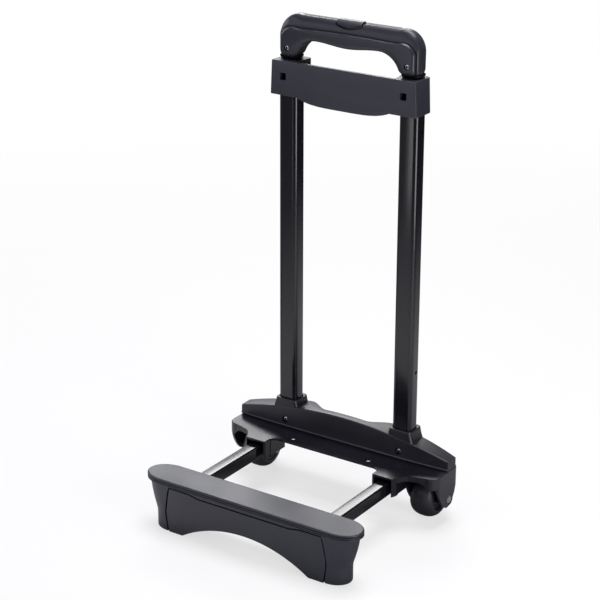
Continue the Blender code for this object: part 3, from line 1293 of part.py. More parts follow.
def extension_panel(parent):
    """Pull-out front of the foot bar: a shallow tray on its own two feet."""
    outline = panel_outline(0.0)
    edge = 0.0006
    face = [(x, panel_front(z), z) for x, z in inset(list(reversed(outline)), edge)]
    rim = [(x, panel_front(z) + edge, z) for x, z in reversed(outline)]
    back = along_y(list(reversed(outline)), panel_back())
    panel = piece("extension_panel", "moulded_plastic", parent, [face, rim, back])
    arch = arch_outline()
    cut(panel, "panel_arch", [[along_y(arch, 2 * FOOT_FRONT), along_y(arch, 0.0)]], parent)
    hollow_panel(panel, parent)
    cut(panel, "panel_rod_seats",
        [[along_y(rod_outline(side, SEAT_GAP), rod_front() - SEAT_GAP),
          along_y(rod_outline(side, SEAT_GAP), panel_back() + PANEL_GAP)]
         for _, side in sides()], parent)


def hollow_panel(panel, parent):
    """Pocket behind the panel's face, between its rod seats and beside its feet."""
    seat = LEG_SPACING / 2 - LEG_WIDTH / 2 - PANEL_THICKNESS
    top = PANEL_TOP_MIDDLE - PANEL_THICKNESS
    radius = (FOOT_ARCH_HALF ** 2 + FOOT_ARCH_RISE ** 2) / (2 * FOOT_ARCH_RISE)
    curve_radius = radius + PANEL_THICKNESS
    spread = math.degrees(math.asin(seat / curve_radius))
    curve = arc((0.0, FOOT_ARCH_RISE - radius), curve_radius, 90 - spread, 90 + spread, 16)
    outline = [(-seat, top), (seat, top)] + curve
    start = panel_front(0.0) + PANEL_THICKNESS
    cut(panel, "panel_pocket", [[along_y(outline, start),
                                 along_y(outline, panel_back() + PANEL_GAP)]], parent)


def rod_outline(side, margin=0.0):
    width = LEG_WIDTH - 2 * (LEG_WALL + SLIDE_GAP) + 2 * margin
    height = LEG_HEIGHT - 2 * (LEG_WALL + SLIDE_GAP) + 2 * margin
    return rounded_rectangle(width, height, LEG_CORNER - LEG_WALL, centre=leg_centre(side))


def rod_front():
    return panel_back() - ROD_SEAT_DEPTH


def extension_rods(parent):
    """Square rods that carry the panel and slide inside the leg tubes."""
    for label, side in sides():
        outer = rod_outline(side)
        bore = rod_outline(side, -ROD_WALL)
        piece(f"extension_rod_{label}", "zinc_steel", parent,
              [along_y(outer, ROD_BACK), along_y(outer, rod_front()),
               along_y(bore, rod_front()), along_y(bore, ROD_BACK)], closed=True)


def build():
    clear_scene()
    frame = bpy.data.objects.new("trolley_frame", None)
    bpy.context.scene.collection.objects.link(frame)
    frame.location = (0.0, UPRIGHT_PLANE_Y, 0.0)
    uprights(frame)
    middle_stage(frame)
    inner_stage(frame)
    grip_shells(frame)
    grip_insert(frame)
    grip_screws(frame)
    release_button(frame)
    crossbar(frame)
    base_cover(frame)
    cover_screws(frame)
    base_tray(frame)
    axle_bolts(frame)
    wheels(frame)
    legs(frame)
    foot_body(frame)
    foot_top_plate(frame)
    extension_panel(frame)
    extension_rods(frame)


build()
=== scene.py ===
import math

import bmesh
import bpy
from mathutils import Euler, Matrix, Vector


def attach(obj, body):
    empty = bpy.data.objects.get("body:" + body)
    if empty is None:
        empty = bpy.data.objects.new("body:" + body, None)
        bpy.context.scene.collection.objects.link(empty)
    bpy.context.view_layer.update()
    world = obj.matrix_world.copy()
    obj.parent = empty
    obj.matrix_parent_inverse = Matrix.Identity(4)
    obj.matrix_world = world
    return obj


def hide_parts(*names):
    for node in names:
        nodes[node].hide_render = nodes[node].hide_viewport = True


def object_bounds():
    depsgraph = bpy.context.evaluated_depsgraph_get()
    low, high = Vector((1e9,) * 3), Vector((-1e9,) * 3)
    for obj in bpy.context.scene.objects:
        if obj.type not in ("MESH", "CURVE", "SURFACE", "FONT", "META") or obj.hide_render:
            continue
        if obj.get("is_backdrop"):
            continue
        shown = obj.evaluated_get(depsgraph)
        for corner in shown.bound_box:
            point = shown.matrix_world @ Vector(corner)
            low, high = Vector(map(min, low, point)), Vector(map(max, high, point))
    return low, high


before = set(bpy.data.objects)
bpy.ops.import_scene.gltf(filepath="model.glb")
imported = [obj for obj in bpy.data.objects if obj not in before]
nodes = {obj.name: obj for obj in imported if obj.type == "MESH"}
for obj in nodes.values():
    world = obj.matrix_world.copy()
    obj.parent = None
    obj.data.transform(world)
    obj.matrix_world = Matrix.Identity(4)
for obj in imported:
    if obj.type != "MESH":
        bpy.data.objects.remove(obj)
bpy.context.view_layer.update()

# Base tray. One black ABS moulding with a plate, hoods over the legs and walls round the
# wheels, pressed on to the axle bolts. Its tool was polished on top, so the plate mirrors
# the cover, and its skirts keep a fine grain.


def new_group(name, inputs, outputs):
    """An empty shader group with its sockets; inputs are (name, default)."""
    group = bpy.data.node_groups.new(name, "ShaderNodeTree")
    for label, default in inputs:
        socket = group.interface.new_socket(label, in_out="INPUT",
                                            socket_type="NodeSocketFloat")
        socket.default_value = default
    for label, kind in outputs:
        group.interface.new_socket(label, in_out="OUTPUT", socket_type=kind)
    return group, group.nodes.new("NodeGroupInput"), group.nodes.new("NodeGroupOutput")


def feed(tree, value, socket):
    """Puts a number, a colour or another node's output into a socket."""
    if isinstance(value, bpy.types.NodeSocket):
        tree.links.new(value, socket)
    elif value is not None:
        socket.default_value = value


def add_math(tree, operation, first, second=None):
    node = tree.nodes.new("ShaderNodeMath")
    node.operation = operation
    feed(tree, first, node.inputs[0])
    feed(tree, second, node.inputs[1])
    return node.outputs[0]


def add_noise(tree, vector, scale, detail=4.0, rough=0.55):
    node = tree.nodes.new("ShaderNodeTexNoise")
    for label, value in (("Vector", vector), ("Scale", scale), ("Detail", detail),
                         ("Roughness", rough)):
        feed(tree, value, node.inputs[label])
    return node.outputs["Fac"]


def add_range(tree, value, low, high, to_low=0.0, to_high=1.0):
    node = tree.nodes.new("ShaderNodeMapRange")
    for label, number in (("Value", value), ("From Min", low), ("From Max", high),
                          ("To Min", to_low), ("To Max", to_high)):
        feed(tree, number, node.inputs[label])
    return node.outputs["Result"]


def add_mix(tree, share, first, second):
    """Colour between two others; each is a colour or a socket."""
    node = tree.nodes.new("ShaderNodeMix")
    node.data_type = "RGBA"
    feed(tree, share, node.inputs["Factor"])
    for socket, value in ((node.inputs[6], first), (node.inputs[7], second)):
        feed(tree, value if isinstance(value, bpy.types.NodeSocket) else (*value, 1.0), socket)
    return node.outputs[2]


def stretched(tree, scale, turn=(0.0, 0.0, 0.0)):
    """Object coordinates, stretched along an axis."""
    node = tree.nodes.new("ShaderNodeMapping")
    node.inputs["Rotation"].default_value = turn
    node.inputs["Scale"].default_value = scale
    tree.links.new(tree.nodes.new("ShaderNodeTexCoord").outputs["Object"],
                   node.inputs["Vector"])
    return node.outputs["Vector"]


def make_rubbed_edges():
    """Mask of edges rubbed smooth by handling, broken up by noise."""
    group, entry, leave = new_group("rubbed_edges", [("Width", 0.0008), ("Patches", 90.0)],
                                    [("Mask", "NodeSocketFloat")])
    rounded = group.nodes.new("ShaderNodeBevel")
    rounded.samples = 4
    group.links.new(entry.outputs["Width"], rounded.inputs["Radius"])
    lie = group.nodes.new("ShaderNodeVectorMath")
    lie.operation = "DOT_PRODUCT"
    group.links.new(rounded.outputs["Normal"], lie.inputs[0])
    group.links.new(group.nodes.new("ShaderNodeNewGeometry").outputs["Normal"], lie.inputs[1])
    edge = add_range(group, lie.outputs["Value"], 0.995, 0.90)
    patches = add_noise(group, stretched(group, (1, 1, 1)), entry.outputs["Patches"], 6.0)
    feed(group, add_math(group, "MULTIPLY", edge, add_range(group, patches, 0.42, 0.62)),
         leave.inputs["Mask"])
    return group


def make_handling():
    """A cloudy film of dust and skin grease, and faint slanting scuffs."""
    group, entry, leave = new_group("handling", [("Cloud Scale", 14.0), ("Scuff Scale", 60.0)],
                                    [("Cloud", "NodeSocketFloat"), ("Scuffs", "NodeSocketFloat")])
    cloud = add_noise(group, stretched(group, (1, 1, 1)), entry.outputs["Cloud Scale"], 5.0)
    feed(group, add_range(group, cloud, 0.35, 0.70), leave.inputs["Cloud"])
    scuff = add_noise(group, stretched(group, (1.0, 9.0, 5.0), (0.3, 0.5, 0.9)),
                      entry.outputs["Scuff Scale"], 3.0)
    feed(group, add_range(group, scuff, 0.66, 0.74), leave.inputs["Scuffs"])
    return group


def make_spark_grain():
    """Height of the fine dimpled grain that a spark-eroded tool leaves."""
    group, entry, leave = new_group("spark_grain", [("Size", 0.0006)],
                                    [("Height", "NodeSocketFloat")])
    place = stretched(group, (1, 1, 1))
    scale = add_math(group, "DIVIDE", 1.0, entry.outputs["Size"])
    pits = group.nodes.new("ShaderNodeTexVoronoi")
    pits.feature = "SMOOTH_F1"
    feed(group, place, pits.inputs["Vector"])
    feed(group, scale, pits.inputs["Scale"])
    waves = add_noise(group, place, scale, 2.0)
    feed(group, add_math(group, "ADD", pits.outputs["Distance"], waves), leave.inputs["Height"])
    return group


RUBBED_EDGES = make_rubbed_edges()
HANDLING = make_handling()
SPARK_GRAIN = make_spark_grain()


def place_group(tree, group, **values):
    node = tree.nodes.new("ShaderNodeGroup")
    node.node_tree = group
    for label, value in values.items():
        node.inputs[label.replace("_", " ")].default_value = value
    return node.outputs


def new_finish(name):
    """An empty Principled material: the material, its tree and its shader."""
    material = bpy.data.materials.new(name)
    material.use_nodes = True
    return material, material.node_tree, material.node_tree.nodes["Principled BSDF"]


def raise_bump(tree, shader, height, depth, strength):
    bump = tree.nodes.new("ShaderNodeBump")
    bump.inputs["Strength"].default_value = strength
    bump.inputs["Distance"].default_value = depth
    feed(tree, height, bump.inputs["Height"])
    feed(tree, bump.outputs["Normal"], shader.inputs["Normal"])


def moulded(name, colour, worn, roughness, grain, depth):
    """Black moulding: grain of a size and depth, cloudy film, scuffs and rubbed edges."""
    material, tree, shader = new_finish(name)
    marks = place_group(tree, HANDLING)
    edges = place_group(tree, RUBBED_EDGES)
    wear = add_math(tree, "MAXIMUM", edges["Mask"],
                    add_math(tree, "MULTIPLY", marks["Scuffs"], 0.3))
    filmed = add_mix(tree, add_math(tree, "MULTIPLY", marks["Cloud"], 0.35), colour, worn)
    feed(tree, add_mix(tree, wear, filmed, worn), shader.inputs["Base Color"])
    feed(tree, add_range(tree, marks["Cloud"], 0.0, 1.0, roughness - 0.04, roughness + 0.06),
         shader.inputs["Roughness"])
    raise_bump(tree, shader, place_group(tree, SPARK_GRAIN, Size=grain)["Height"], depth, 0.35)
    return material


def soften(piece, width=0.0003, angle=40):
    """Smooth faces with narrow rounded edges."""
    piece.data.shade_smooth()
    piece.data.set_sharp_from_angle(angle=math.radians(32))
    ease = piece.modifiers.new("eased_edges", "BEVEL")
    ease.width = width
    ease.segments = 2
    ease.limit_method = "ANGLE"
    ease.angle_limit = math.radians(angle)
    ease.harden_normals = True


def dress(names, material, width=0.00025):
    """Gives CAD nodes that stay in view their finish."""
    for name in names:
        piece = nodes[name]
        piece.data.materials.clear()
        piece.data.materials.append(material)
        soften(piece, width)


tray_black = moulded("tray_black", (0.005, 0.005, 0.009), (0.010, 0.010, 0.016), 0.31,
                     0.0009, 0.000004)
tree, shader = tray_black.node_tree, tray_black.node_tree.nodes["Principled BSDF"]
spot = tree.nodes.new("ShaderNodeSeparateXYZ")
feed(tree, tree.nodes.new("ShaderNodeTexCoord").outputs["Object"], spot.inputs[0])
# Painted light: the outer walls round the wheels, beyond |x| 0.1295, get a lighter colour, as if lit
# from the side.
painted_wall_light = add_range(tree, add_math(tree, "ABSOLUTE", spot.outputs["X"]), 0.1295, 0.1350)
feed(tree, add_mix(tree, painted_wall_light, shader.inputs["Base Color"].links[0].from_socket,
                   (0.026, 0.026, 0.034)), shader.inputs["Base Color"])
dress(["base_tray"], tray_black, 0.0005)

# Wheels. Turned tyres of black polyurethane, cast on moulded hubs that spin on plain
# zinc-plated bolts; each bolt's head is sunk in the housing and a nut holds it inside.
UPRIGHT_PLANE = 0.09165      # y of the plane through the two uprights
WHEEL_RADIUS = 0.0247
WHEEL_X = 0.1104
WHEEL_Y = UPRIGHT_PLANE - 0.0050
SIDES = (("left", -1), ("right", 1))


def arc(centre, radius, start, stop, steps):
    """Points on an arc, angles in degrees; radius may be a pair for an ellipse."""
    wide, high = radius if isinstance(radius, tuple) else (radius, radius)
    turns = [math.radians(start + (stop - start) * step / steps) for step in range(steps + 1)]
    return [(centre[0] + wide * math.cos(a), centre[1] + high * math.sin(a)) for a in turns]


def skin(name, rings, closed=False):
    """A mesh over rings of equal count; closed joins the last ring to the first."""
    bm = bmesh.new()
    loops = [[bm.verts.new(point) for point in ring] for ring in rings]
    pairs = list(zip(loops, loops[1:]))
    if closed:
        pairs.append((loops[-1], loops[0]))
    else:
        bm.faces.new(loops[0])
        bm.faces.new(loops[-1])
    for low, high in pairs:
        for index in range(len(low)):
            after = (index + 1) % len(low)
            bm.faces.new((low[index], low[after], high[after], high[index]))
    bmesh.ops.recalc_face_normals(bm, faces=bm.faces)
    bent = [face for face in bm.faces
            if max(abs((v.co - face.calc_center_median()).dot(face.normal))
                   for v in face.verts) > 1e-7]
    bmesh.ops.triangulate(bm, faces=bent)
    mesh = bpy.data.meshes.new(name)
    bm.to_mesh(mesh)
    bm.free()
    piece = bpy.data.objects.new(name, mesh)
    bpy.context.scene.collection.objects.link(piece)
    return piece


def fit(piece, material, body, *stands_for, width=0.0003, angle=40):
    """Finishes a piece and sets it on its body, in place of the CAD nodes named."""
    piece.data.materials.clear()
    piece.data.materials.append(material)
    soften(piece, width, angle)
    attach(piece, body)
    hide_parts(*stands_for)


def turn_wheel_part(name, profile, side, steps=96):
    """Ring turned about the axle from a closed profile of (x, radius) points."""
    rings = []
    for step in range(steps):
        angle = 2 * math.pi * step / steps
        rings.append([(side * (WHEEL_X + x), WHEEL_Y + radius * math.cos(angle),
                       WHEEL_RADIUS + radius * math.sin(angle)) for x, radius in profile])
    return skin(name, rings, closed=True)


def hub_flank(half, web):
    """Half of the hub's profile, dished between boss and rim down to its web."""
    face, boss, rim = 0.0107, 0.0065, 0.0125
    return [(half, 0.00305), (half, boss), (web + 0.0008, boss + 0.0003),
            (web, boss + 0.0011), (web, rim - 0.0011), (web + 0.0008, rim - 0.0003),
            (face, rim), (face, 0.0150)]


tyre_black = moulded("tyre_black", (0.015, 0.015, 0.021), (0.038, 0.038, 0.044), 0.46,
                     0.0005, 0.00004)
hub_black = moulded("hub_black", (0.016, 0.016, 0.022), (0.040, 0.040, 0.046), 0.42,
                    0.0006, 0.00002)
for label, side in SIDES:
    half = 0.01175
    tread = arc((0.0, WHEEL_RADIUS - 0.0065), (half, 0.0065), 0, 83, 14)
    seam = [(0.0004, WHEEL_RADIUS - 0.00005), (0.00025, WHEEL_RADIUS + 0.0),
            (-0.00025, WHEEL_RADIUS + 0.0), (-0.0004, WHEEL_RADIUS - 0.00005)]
    other = [(-x, radius) for x, radius in reversed(tread)]
    wide = arc((0.0030, WHEEL_RADIUS - 0.0085), (0.0130, 0.0085), 0, 88, 14)
    tyre = turn_wheel_part(f"tyre_{label}", [(-half, 0.0153), (0.0140, 0.0153)] + wide + seam
                           + other, side)
    fit(tyre, tyre_black, f"wheel_{label}", f"wheel_tyre_{label}", angle=60)
    inner = [(-x, radius) for x, radius in reversed(hub_flank(half, 0.0030))]
    hub = turn_wheel_part(f"hub_{label}", hub_flank(half, 0.0098) + inner, side)
    fit(hub, hub_black, f"wheel_{label}", f"wheel_hub_{label}")

bright_zinc, tree, shader = new_finish("bright_zinc")
shader.inputs["Metallic"].default_value = 1.0
plating = add_noise(tree, stretched(tree, (1, 1, 1)), 700.0, 4.0)
feed(tree, add_mix(tree, plating, (0.46, 0.46, 0.48), (0.64, 0.64, 0.66)),
     shader.inputs["Base Color"])
feed(tree, add_range(tree, plating, 0.3, 0.7, 0.16, 0.32), shader.inputs["Roughness"])
raise_bump(tree, shader, plating, 0.00001, 0.2)
dress([f"{part}_{label}" for label, _ in SIDES for part in ("axle_bolt", "axle_nut")],
      bright_zinc)

# Legs. Square steel tubes with rounded corners, black gloss paint over faint lengthwise
# drawing lines, pushed into nylon blocks under the tray's hoods.


def rounded(width, depth, radius, centre=(0.0, 0.0), steps=9):
    """Outline of a rectangle with rounded corners, anticlockwise."""
    points = []
    for start, (side_x, side_y) in zip((0, 90, 180, 270), ((1, 1), (-1, 1), (-1, -1), (1, -1))):
        corner = (centre[0] + side_x * (width / 2 - radius),
                  centre[1] + side_y * (depth / 2 - radius))
        points += arc(corner, radius, start, start + 90, steps)
    return points


def lying(outline, reach):
    """An outline of (x, z) points set across the trolley at a distance in front."""
    return [(x, UPRIGHT_PLANE + reach, z) for x, z in outline]


def drawn(name, colour, roughness, scale):
    """Gloss black tube; scale is small along the drawing lines."""
    material, tree, shader = new_finish(name)
    lines = add_noise(tree, stretched(tree, scale), 900.0, 4.0)
    marks = place_group(tree, HANDLING, Cloud_Scale=9.0)
    feed(tree, add_mix(tree, marks["Scuffs"], colour, [2.2 * c for c in colour]),
         shader.inputs["Base Color"])
    feed(tree, add_math(tree, "ADD", add_range(tree, lines, 0.3, 0.7, roughness - 0.03,
                                               roughness + 0.04),
                        add_math(tree, "MULTIPLY", marks["Cloud"], 0.03)),
         shader.inputs["Roughness"])
    raise_bump(tree, shader, lines, 0.00002, 0.12)
    return material


LEG_X = 0.0845
LEG_HEIGHT = 0.0156
LEG_MIDDLE = 0.0540 - LEG_HEIGHT / 2
LEG_BACK, LEG_FRONT = -0.0210, -0.1869
leg_black = drawn("leg_black", (0.004, 0.004, 0.006), 0.14, (1.0, 0.02, 1.0))
nylon_black = moulded("nylon_black", (0.004, 0.004, 0.006), (0.010, 0.010, 0.014), 0.45,
                      0.0005, 0.00002)
nylon_black.node_tree.nodes["Principled BSDF"].inputs["Specular IOR Level"].default_value = 0.1
for label, side in SIDES:
    centre = (side * LEG_X, LEG_MIDDLE)
    outer = rounded(0.0145, LEG_HEIGHT, 0.0020, centre)
    bore = rounded(0.0121, LEG_HEIGHT - 0.0024, 0.0010, centre)
    leg = skin(f"leg_{label}", [lying(outer, LEG_BACK), lying(outer, LEG_FRONT),
                                lying(bore, LEG_FRONT), lying(bore, LEG_BACK)], closed=True)
    fit(leg, leg_black, "frame", f"leg_tube_{label}")
dress(["leg_block_left", "leg_block_right"], nylon_black)

# Foot bar. A hollow black ABS body, open below, whose legs plug into sockets, with a plate
# snapped on top. Two rounded beads run round it, one on the plate and one on the body.
FOOT_HALF = 0.1364
FOOT_FRONT, FOOT_BACK = -0.2030, -0.1630
FOOT_TOP = 0.0616
RIM_TOP, RIM_BOTTOM = 0.0588, 0.0546
KNEE = 0.0200
PANEL_BACK = -0.1902


def foot_ring(height, end_inset, side_inset):
    """Plan of the bar at a height, stood in at its ends and along its sides."""
    middle, half_depth = (FOOT_FRONT + FOOT_BACK) / 2, (FOOT_BACK - FOOT_FRONT) / 2 - side_inset
    reach = 0.0270 - end_inset / 2
    straight = FOOT_HALF - end_inset - reach
    plan = (arc((straight, middle), (reach, half_depth), -90, 90, 44)
            + arc((-straight, middle), (reach, half_depth), 90, 270, 44))
    return [(x, UPRIGHT_PLANE + y, height) for x, y in plan]


def foot_insets(height):
    """How far the body stands in; it stops tapering at its knee."""
    share = (RIM_BOTTOM - height) / (RIM_BOTTOM - KNEE)
    if share > 0.9:
        share = 1 - max(1.1 - share, 0.0) ** 2 / 0.4
    return 0.0045 + 0.0085 * max(share, 0.0) ** 1.5, 0.0018 + 0.0014 * share


def bead(middle, half_height, bulge, angles):
    """Rings round a rounded rim of the bar."""
    rings = []
    for angle in angles:
        turn = math.radians(angle)
        stand_in = 0.0003 + bulge * (1 - math.cos(turn))
        rings.append(foot_ring(middle + half_height * math.sin(turn), stand_in, stand_in))
    return rings


def carve(piece, shapes, operation="DIFFERENCE"):
    """Cuts shapes out of a piece, or welds them on; a shape is a list of rings."""
    tools = [skin("tool", rings) for rings in shapes]
    for tool in tools:
        change = piece.modifiers.new("change", "BOOLEAN")
        change.operation, change.object, change.solver = operation, tool, "EXACT"
    bpy.context.view_layer.update()
    seen = piece.evaluated_get(bpy.context.evaluated_depsgraph_get())
    result = bpy.data.meshes.new_from_object(seen)
    piece.modifiers.clear()
    piece.data = result
    for tool in tools:
        bpy.data.objects.remove(tool, do_unlink=True)


def block(low, high):
    """A box between two corners, as rings; y is measured from the uprights' plane."""
    plan = [(low[0], low[1]), (high[0], low[1]), (high[0], high[1]), (low[0], high[1])]
    return [[(x, UPRIGHT_PLANE + y, z) for x, y in plan] for z in (low[2], high[2])]


def arch_curve(growth=0.0, half=0.0820):
    """Points of the arch under the bar, from left to right, as (x, z)."""
    rise = 0.0240
    radius = (0.0820 ** 2 + rise ** 2) / (2 * rise)
    spread = math.degrees(math.asin(half / (radius + growth)))
    return arc((0.0, rise - radius), radius + growth, 90 + spread, 90 - spread, 48)


def spline(points, steps=6):
    """A smooth line through points, each span in several steps."""
    path = []
    full = [points[0]] + list(points) + [points[-1]]
    for before, start, stop, after in zip(full, full[1:], full[2:], full[3:]):
        for step in range(steps):
            t = step / steps
            path.append(tuple(
                0.5 * (2 * b + (c - a) * t + (2 * a - 5 * b + 4 * c - d) * t * t
                       + (3 * b - a - 3 * c + d) * t ** 3)
                for a, b, c, d in zip(before, start, stop, after)))
    return path + [points[-1]]


def panel_outline(margin, foot):
    """Front view of the pull-out panel, grown by a margin, down to its foot."""
    half = [(0.0, 0.0500 + margin)]
    half += spline([(x, z + margin) for x, z in ((0.0540, 0.0500), (0.0590, 0.0501),
                                                 (0.0650, 0.0513), (0.0710, 0.0523),
                                                 (0.0760, 0.0525))])
    half += arc((0.0960, 0.0510 + margin / 2), 0.0017 + margin / 2, 90, 10, 7)
    half += spline([(x + margin, z) for x, z in ((0.0984, 0.0480), (0.1006, 0.0360),
                                                 (0.1024, 0.0250), (0.1024, 0.0190),
                                                 (0.1010, 0.0090), (0.0997, foot))], 4)
    return [(-x, z) for x, z in reversed(half[1:])] + half


def foot_bar():
    arch = arch_curve()
    arch = arch + [(0.0820, -0.0240), (-0.0820, -0.0240)]
    low = [(0.0018 * (1 - math.sin(a)), 0.0018 * (1 - math.cos(a)))
           for a in (math.radians(18 * step) for step in range(6))]
    rings = [foot_ring(rise, *[i + more for i in foot_insets(rise)]) for more, rise in low]
    rings += [foot_ring(z, *foot_insets(z)) for z in (0.0100, 0.0150, 0.0167, 0.0183, 0.0200,
                                                      0.0217, 0.0233, 0.0300, 0.0370, 0.0450,
                                                      RIM_BOTTOM - 0.0004)]
    rings += bead(0.0556, 0.0010, 0.0016, range(-70, 71, 14))
    rings += bead(0.0577, 0.0010, 0.0016, range(-70, 71, 14))
    body = skin("foot_bar", rings)
    carve(body, [[lying([(-0.0720, z), (0.0720, z), (0.0720, top), (-0.0720, top)], y)
                  for z, top, y in ((-0.01, 0.0533, -0.1991 + 0.0025 + 0.0010),
                                    (-0.01, 0.0533, -0.1670))],
                 [lying(arch, -0.24), lying(arch, -0.12)],
                 [lying(panel_outline(0.0017, -0.004), y) for y in (-0.23, PANEL_BACK + 0.0010)]]
          + [[lying(rounded(0.0151, 0.0162, 0.0022, (side * LEG_X, LEG_MIDDLE)), y)
              for y in (LEG_FRONT - 0.0003, -0.1605)] for _, side in SIDES]
          + [[lying(rounded(0.0121, 0.0132, 0.0018, (side * LEG_X, LEG_MIDDLE)), y)
              for y in (PANEL_BACK, LEG_FRONT + 0.0025)] for _, side in SIDES])
    return body


foot_black = moulded("foot_black", (0.018, 0.018, 0.028), (0.034, 0.034, 0.048), 0.42,
                     0.0008, 0.00003)
fit(foot_bar(), foot_black, "frame", "foot_body", width=0.0004)
plate_black = moulded("plate_black", (0.019, 0.019, 0.029), (0.036, 0.036, 0.048), 0.40,
                      0.0007, 0.00003)
rings = [foot_ring(0.0591, 0.0017, 0.0017), foot_ring(0.0592, 0.0009, 0.0009),
         foot_ring(0.0595, 0.0004, 0.0004)]
plate = skin("foot_plate", rings + bead(0.0598, 0.0018, 0.0018, range(0, 91, 10)))
fit(plate, plate_black, "frame", "foot_top_plate")

# Pull-out front of the foot bar. A shallow moulding with feet of its own, pressed on to two
# square zinc-plated rods that slide inside the leg tubes and carry the case when drawn out.


def inset(outline, distance):
    """An anticlockwise outline moved inwards, each corner along its bisector."""
    moved = []
    for index, here in enumerate(outline):
        before, after = outline[index - 1], outline[(index + 1) % len(outline)]
        normals = []
        for start, stop in ((before, here), (here, after)):
            edge = (Vector(stop) - Vector(start)).normalized()
            normals.append(Vector((-edge.y, edge.x)))
        middle = (normals[0] + normals[1]).normalized()
        reach = distance / max(middle.dot(normals[0]), 0.5)
        moved.append((here[0] + middle.x * reach, here[1] + middle.y * reach))
    return moved


def panel():
    outline = panel_outline(0.0, 0.0)
    outline.reverse()
    edge = 0.0007
    rings = []
    for step in range(5):
        turn = math.radians(90 * step / 4)
        ring = inset(outline, edge * (1 - math.sin(turn)))
        rings.append([(x, UPRIGHT_PLANE + FOOT_FRONT + foot_insets(z)[1]
                       + edge * (1 - math.cos(turn)), z) for x, z in ring])
    rings.append(lying(outline, PANEL_BACK))
    made = skin("foot_panel", rings)
    arch = arch_curve() + [(0.0820, -0.0240), (-0.0820, -0.0240)]
    seat = 0.0747
    pocket = [(-seat, 0.0475)] + [(x, z) for x, z in arch_curve(0.0025, seat)] + [(seat, 0.0475)]
    carve(made, [[lying(arch, -0.24), lying(arch, -0.12)],
                 [lying(pocket, y) for y in (-0.1973, -0.1850)]]
          + [[lying(rounded(0.0121, 0.0132, 0.0018, (side * LEG_X, LEG_MIDDLE)), y)
              for y in (-0.1955, -0.1850)] for _, side in SIDES])
    return made


panel_black = moulded("panel_black", (0.018, 0.018, 0.028), (0.034, 0.034, 0.048), 0.42,
                      0.0008, 0.00003)
fit(panel(), panel_black, "leg_extension", "extension_panel", width=0.0004)
for label, side in SIDES:
    centre = (side * LEG_X, LEG_MIDDLE)
    outer = rounded(0.0115, 0.0126, 0.0018, centre)
    bore = rounded(0.0095, 0.0106, 0.0010, centre)
    rod = skin(f"slide_rod_{label}", [lying(outer, -0.0500), lying(outer, -0.1952),
                                      lying(bore, -0.1952), lying(bore, -0.0500)], closed=True)
    fit(rod, bright_zinc, "leg_extension", f"extension_rod_{label}")

# Base cover. One satin ABS moulding with a sleeve round the foot of each upright, screwed
# through the front into the tubes. Its waist is thinner than its ends, and it is hollow.
UPRIGHT_X = 0.0752
COVER_END = 0.1370
COVER_FOOT = 0.0603
SCREW_HEIGHT = 0.0692
SCREW_SEAT = -0.0102   # floor of the screws' seats in the cover and the grip


def cover_section(x):
    """Section across the cover, with a recessed foot and rounded top edges."""
    share = abs(x) / COVER_END
    front = -0.0140 + 0.0026 * share ** 4
    crown = 0.0906 - 0.0188 * share ** 2
    bend = min(max((abs(x) - 0.0260) / 0.0300, 0.0), 1.0)
    back = -0.0020 + (0.0142 - 0.0080 * share ** 3 + 0.0020) * bend * bend * (3 - 2 * bend)
    edge = 0.0015
    top_front = lean(front, crown)
    foot = [(front + 0.0006, COVER_FOOT), (back, COVER_FOOT)]
    top = arc((back - edge, crown - edge), edge, 0, 90, 5)
    top += arc((top_front + edge, crown - edge), edge, 92, 180, 6)
    return foot + top + [(front, COVER_FOOT + 0.0014), (front + 0.0006, COVER_FOOT + 0.0011)]


def lean(front, height):
    """Where the leaning front wall stands at a height."""
    return front + 0.035 * (height - 0.0600)


def across(outline, x):
    """An outline of (y, z) points set at a distance from the middle."""
    return [(x, UPRIGHT_PLANE + y, z) for y, z in outline]


def standing(outline, height):
    """A plan of (x, y) points set at a height."""
    return [(x, UPRIGHT_PLANE + y, height) for x, y in outline]


def sleeve(side):
    """A sleeve that flares into the cover in a long hollow curve."""
    rings = []
    for height, flare, trim in ((0.0612, 0.0080, 0), (0.0800, 0.0080, 0), (0.0832, 0.0056, 0),
                                (0.0866, 0.0033, 0), (0.0902, 0.0014, 0), (0.0930, 0.0002, 0),
                                (0.0937, 0.0, 0.0001), (0.0940, 0.0, 0.0003),
                                (0.0942, 0.0, 0.0008)):
        front = lean(-0.0132, height)
        depth = 0.0136 - front - 2 * trim
        rings.append(standing(rounded(0.0276 + flare - 2 * trim, depth, 0.0040 - trim,
                                      (side * UPRIGHT_X, (front + 0.0136) / 2)), height))
    return rings


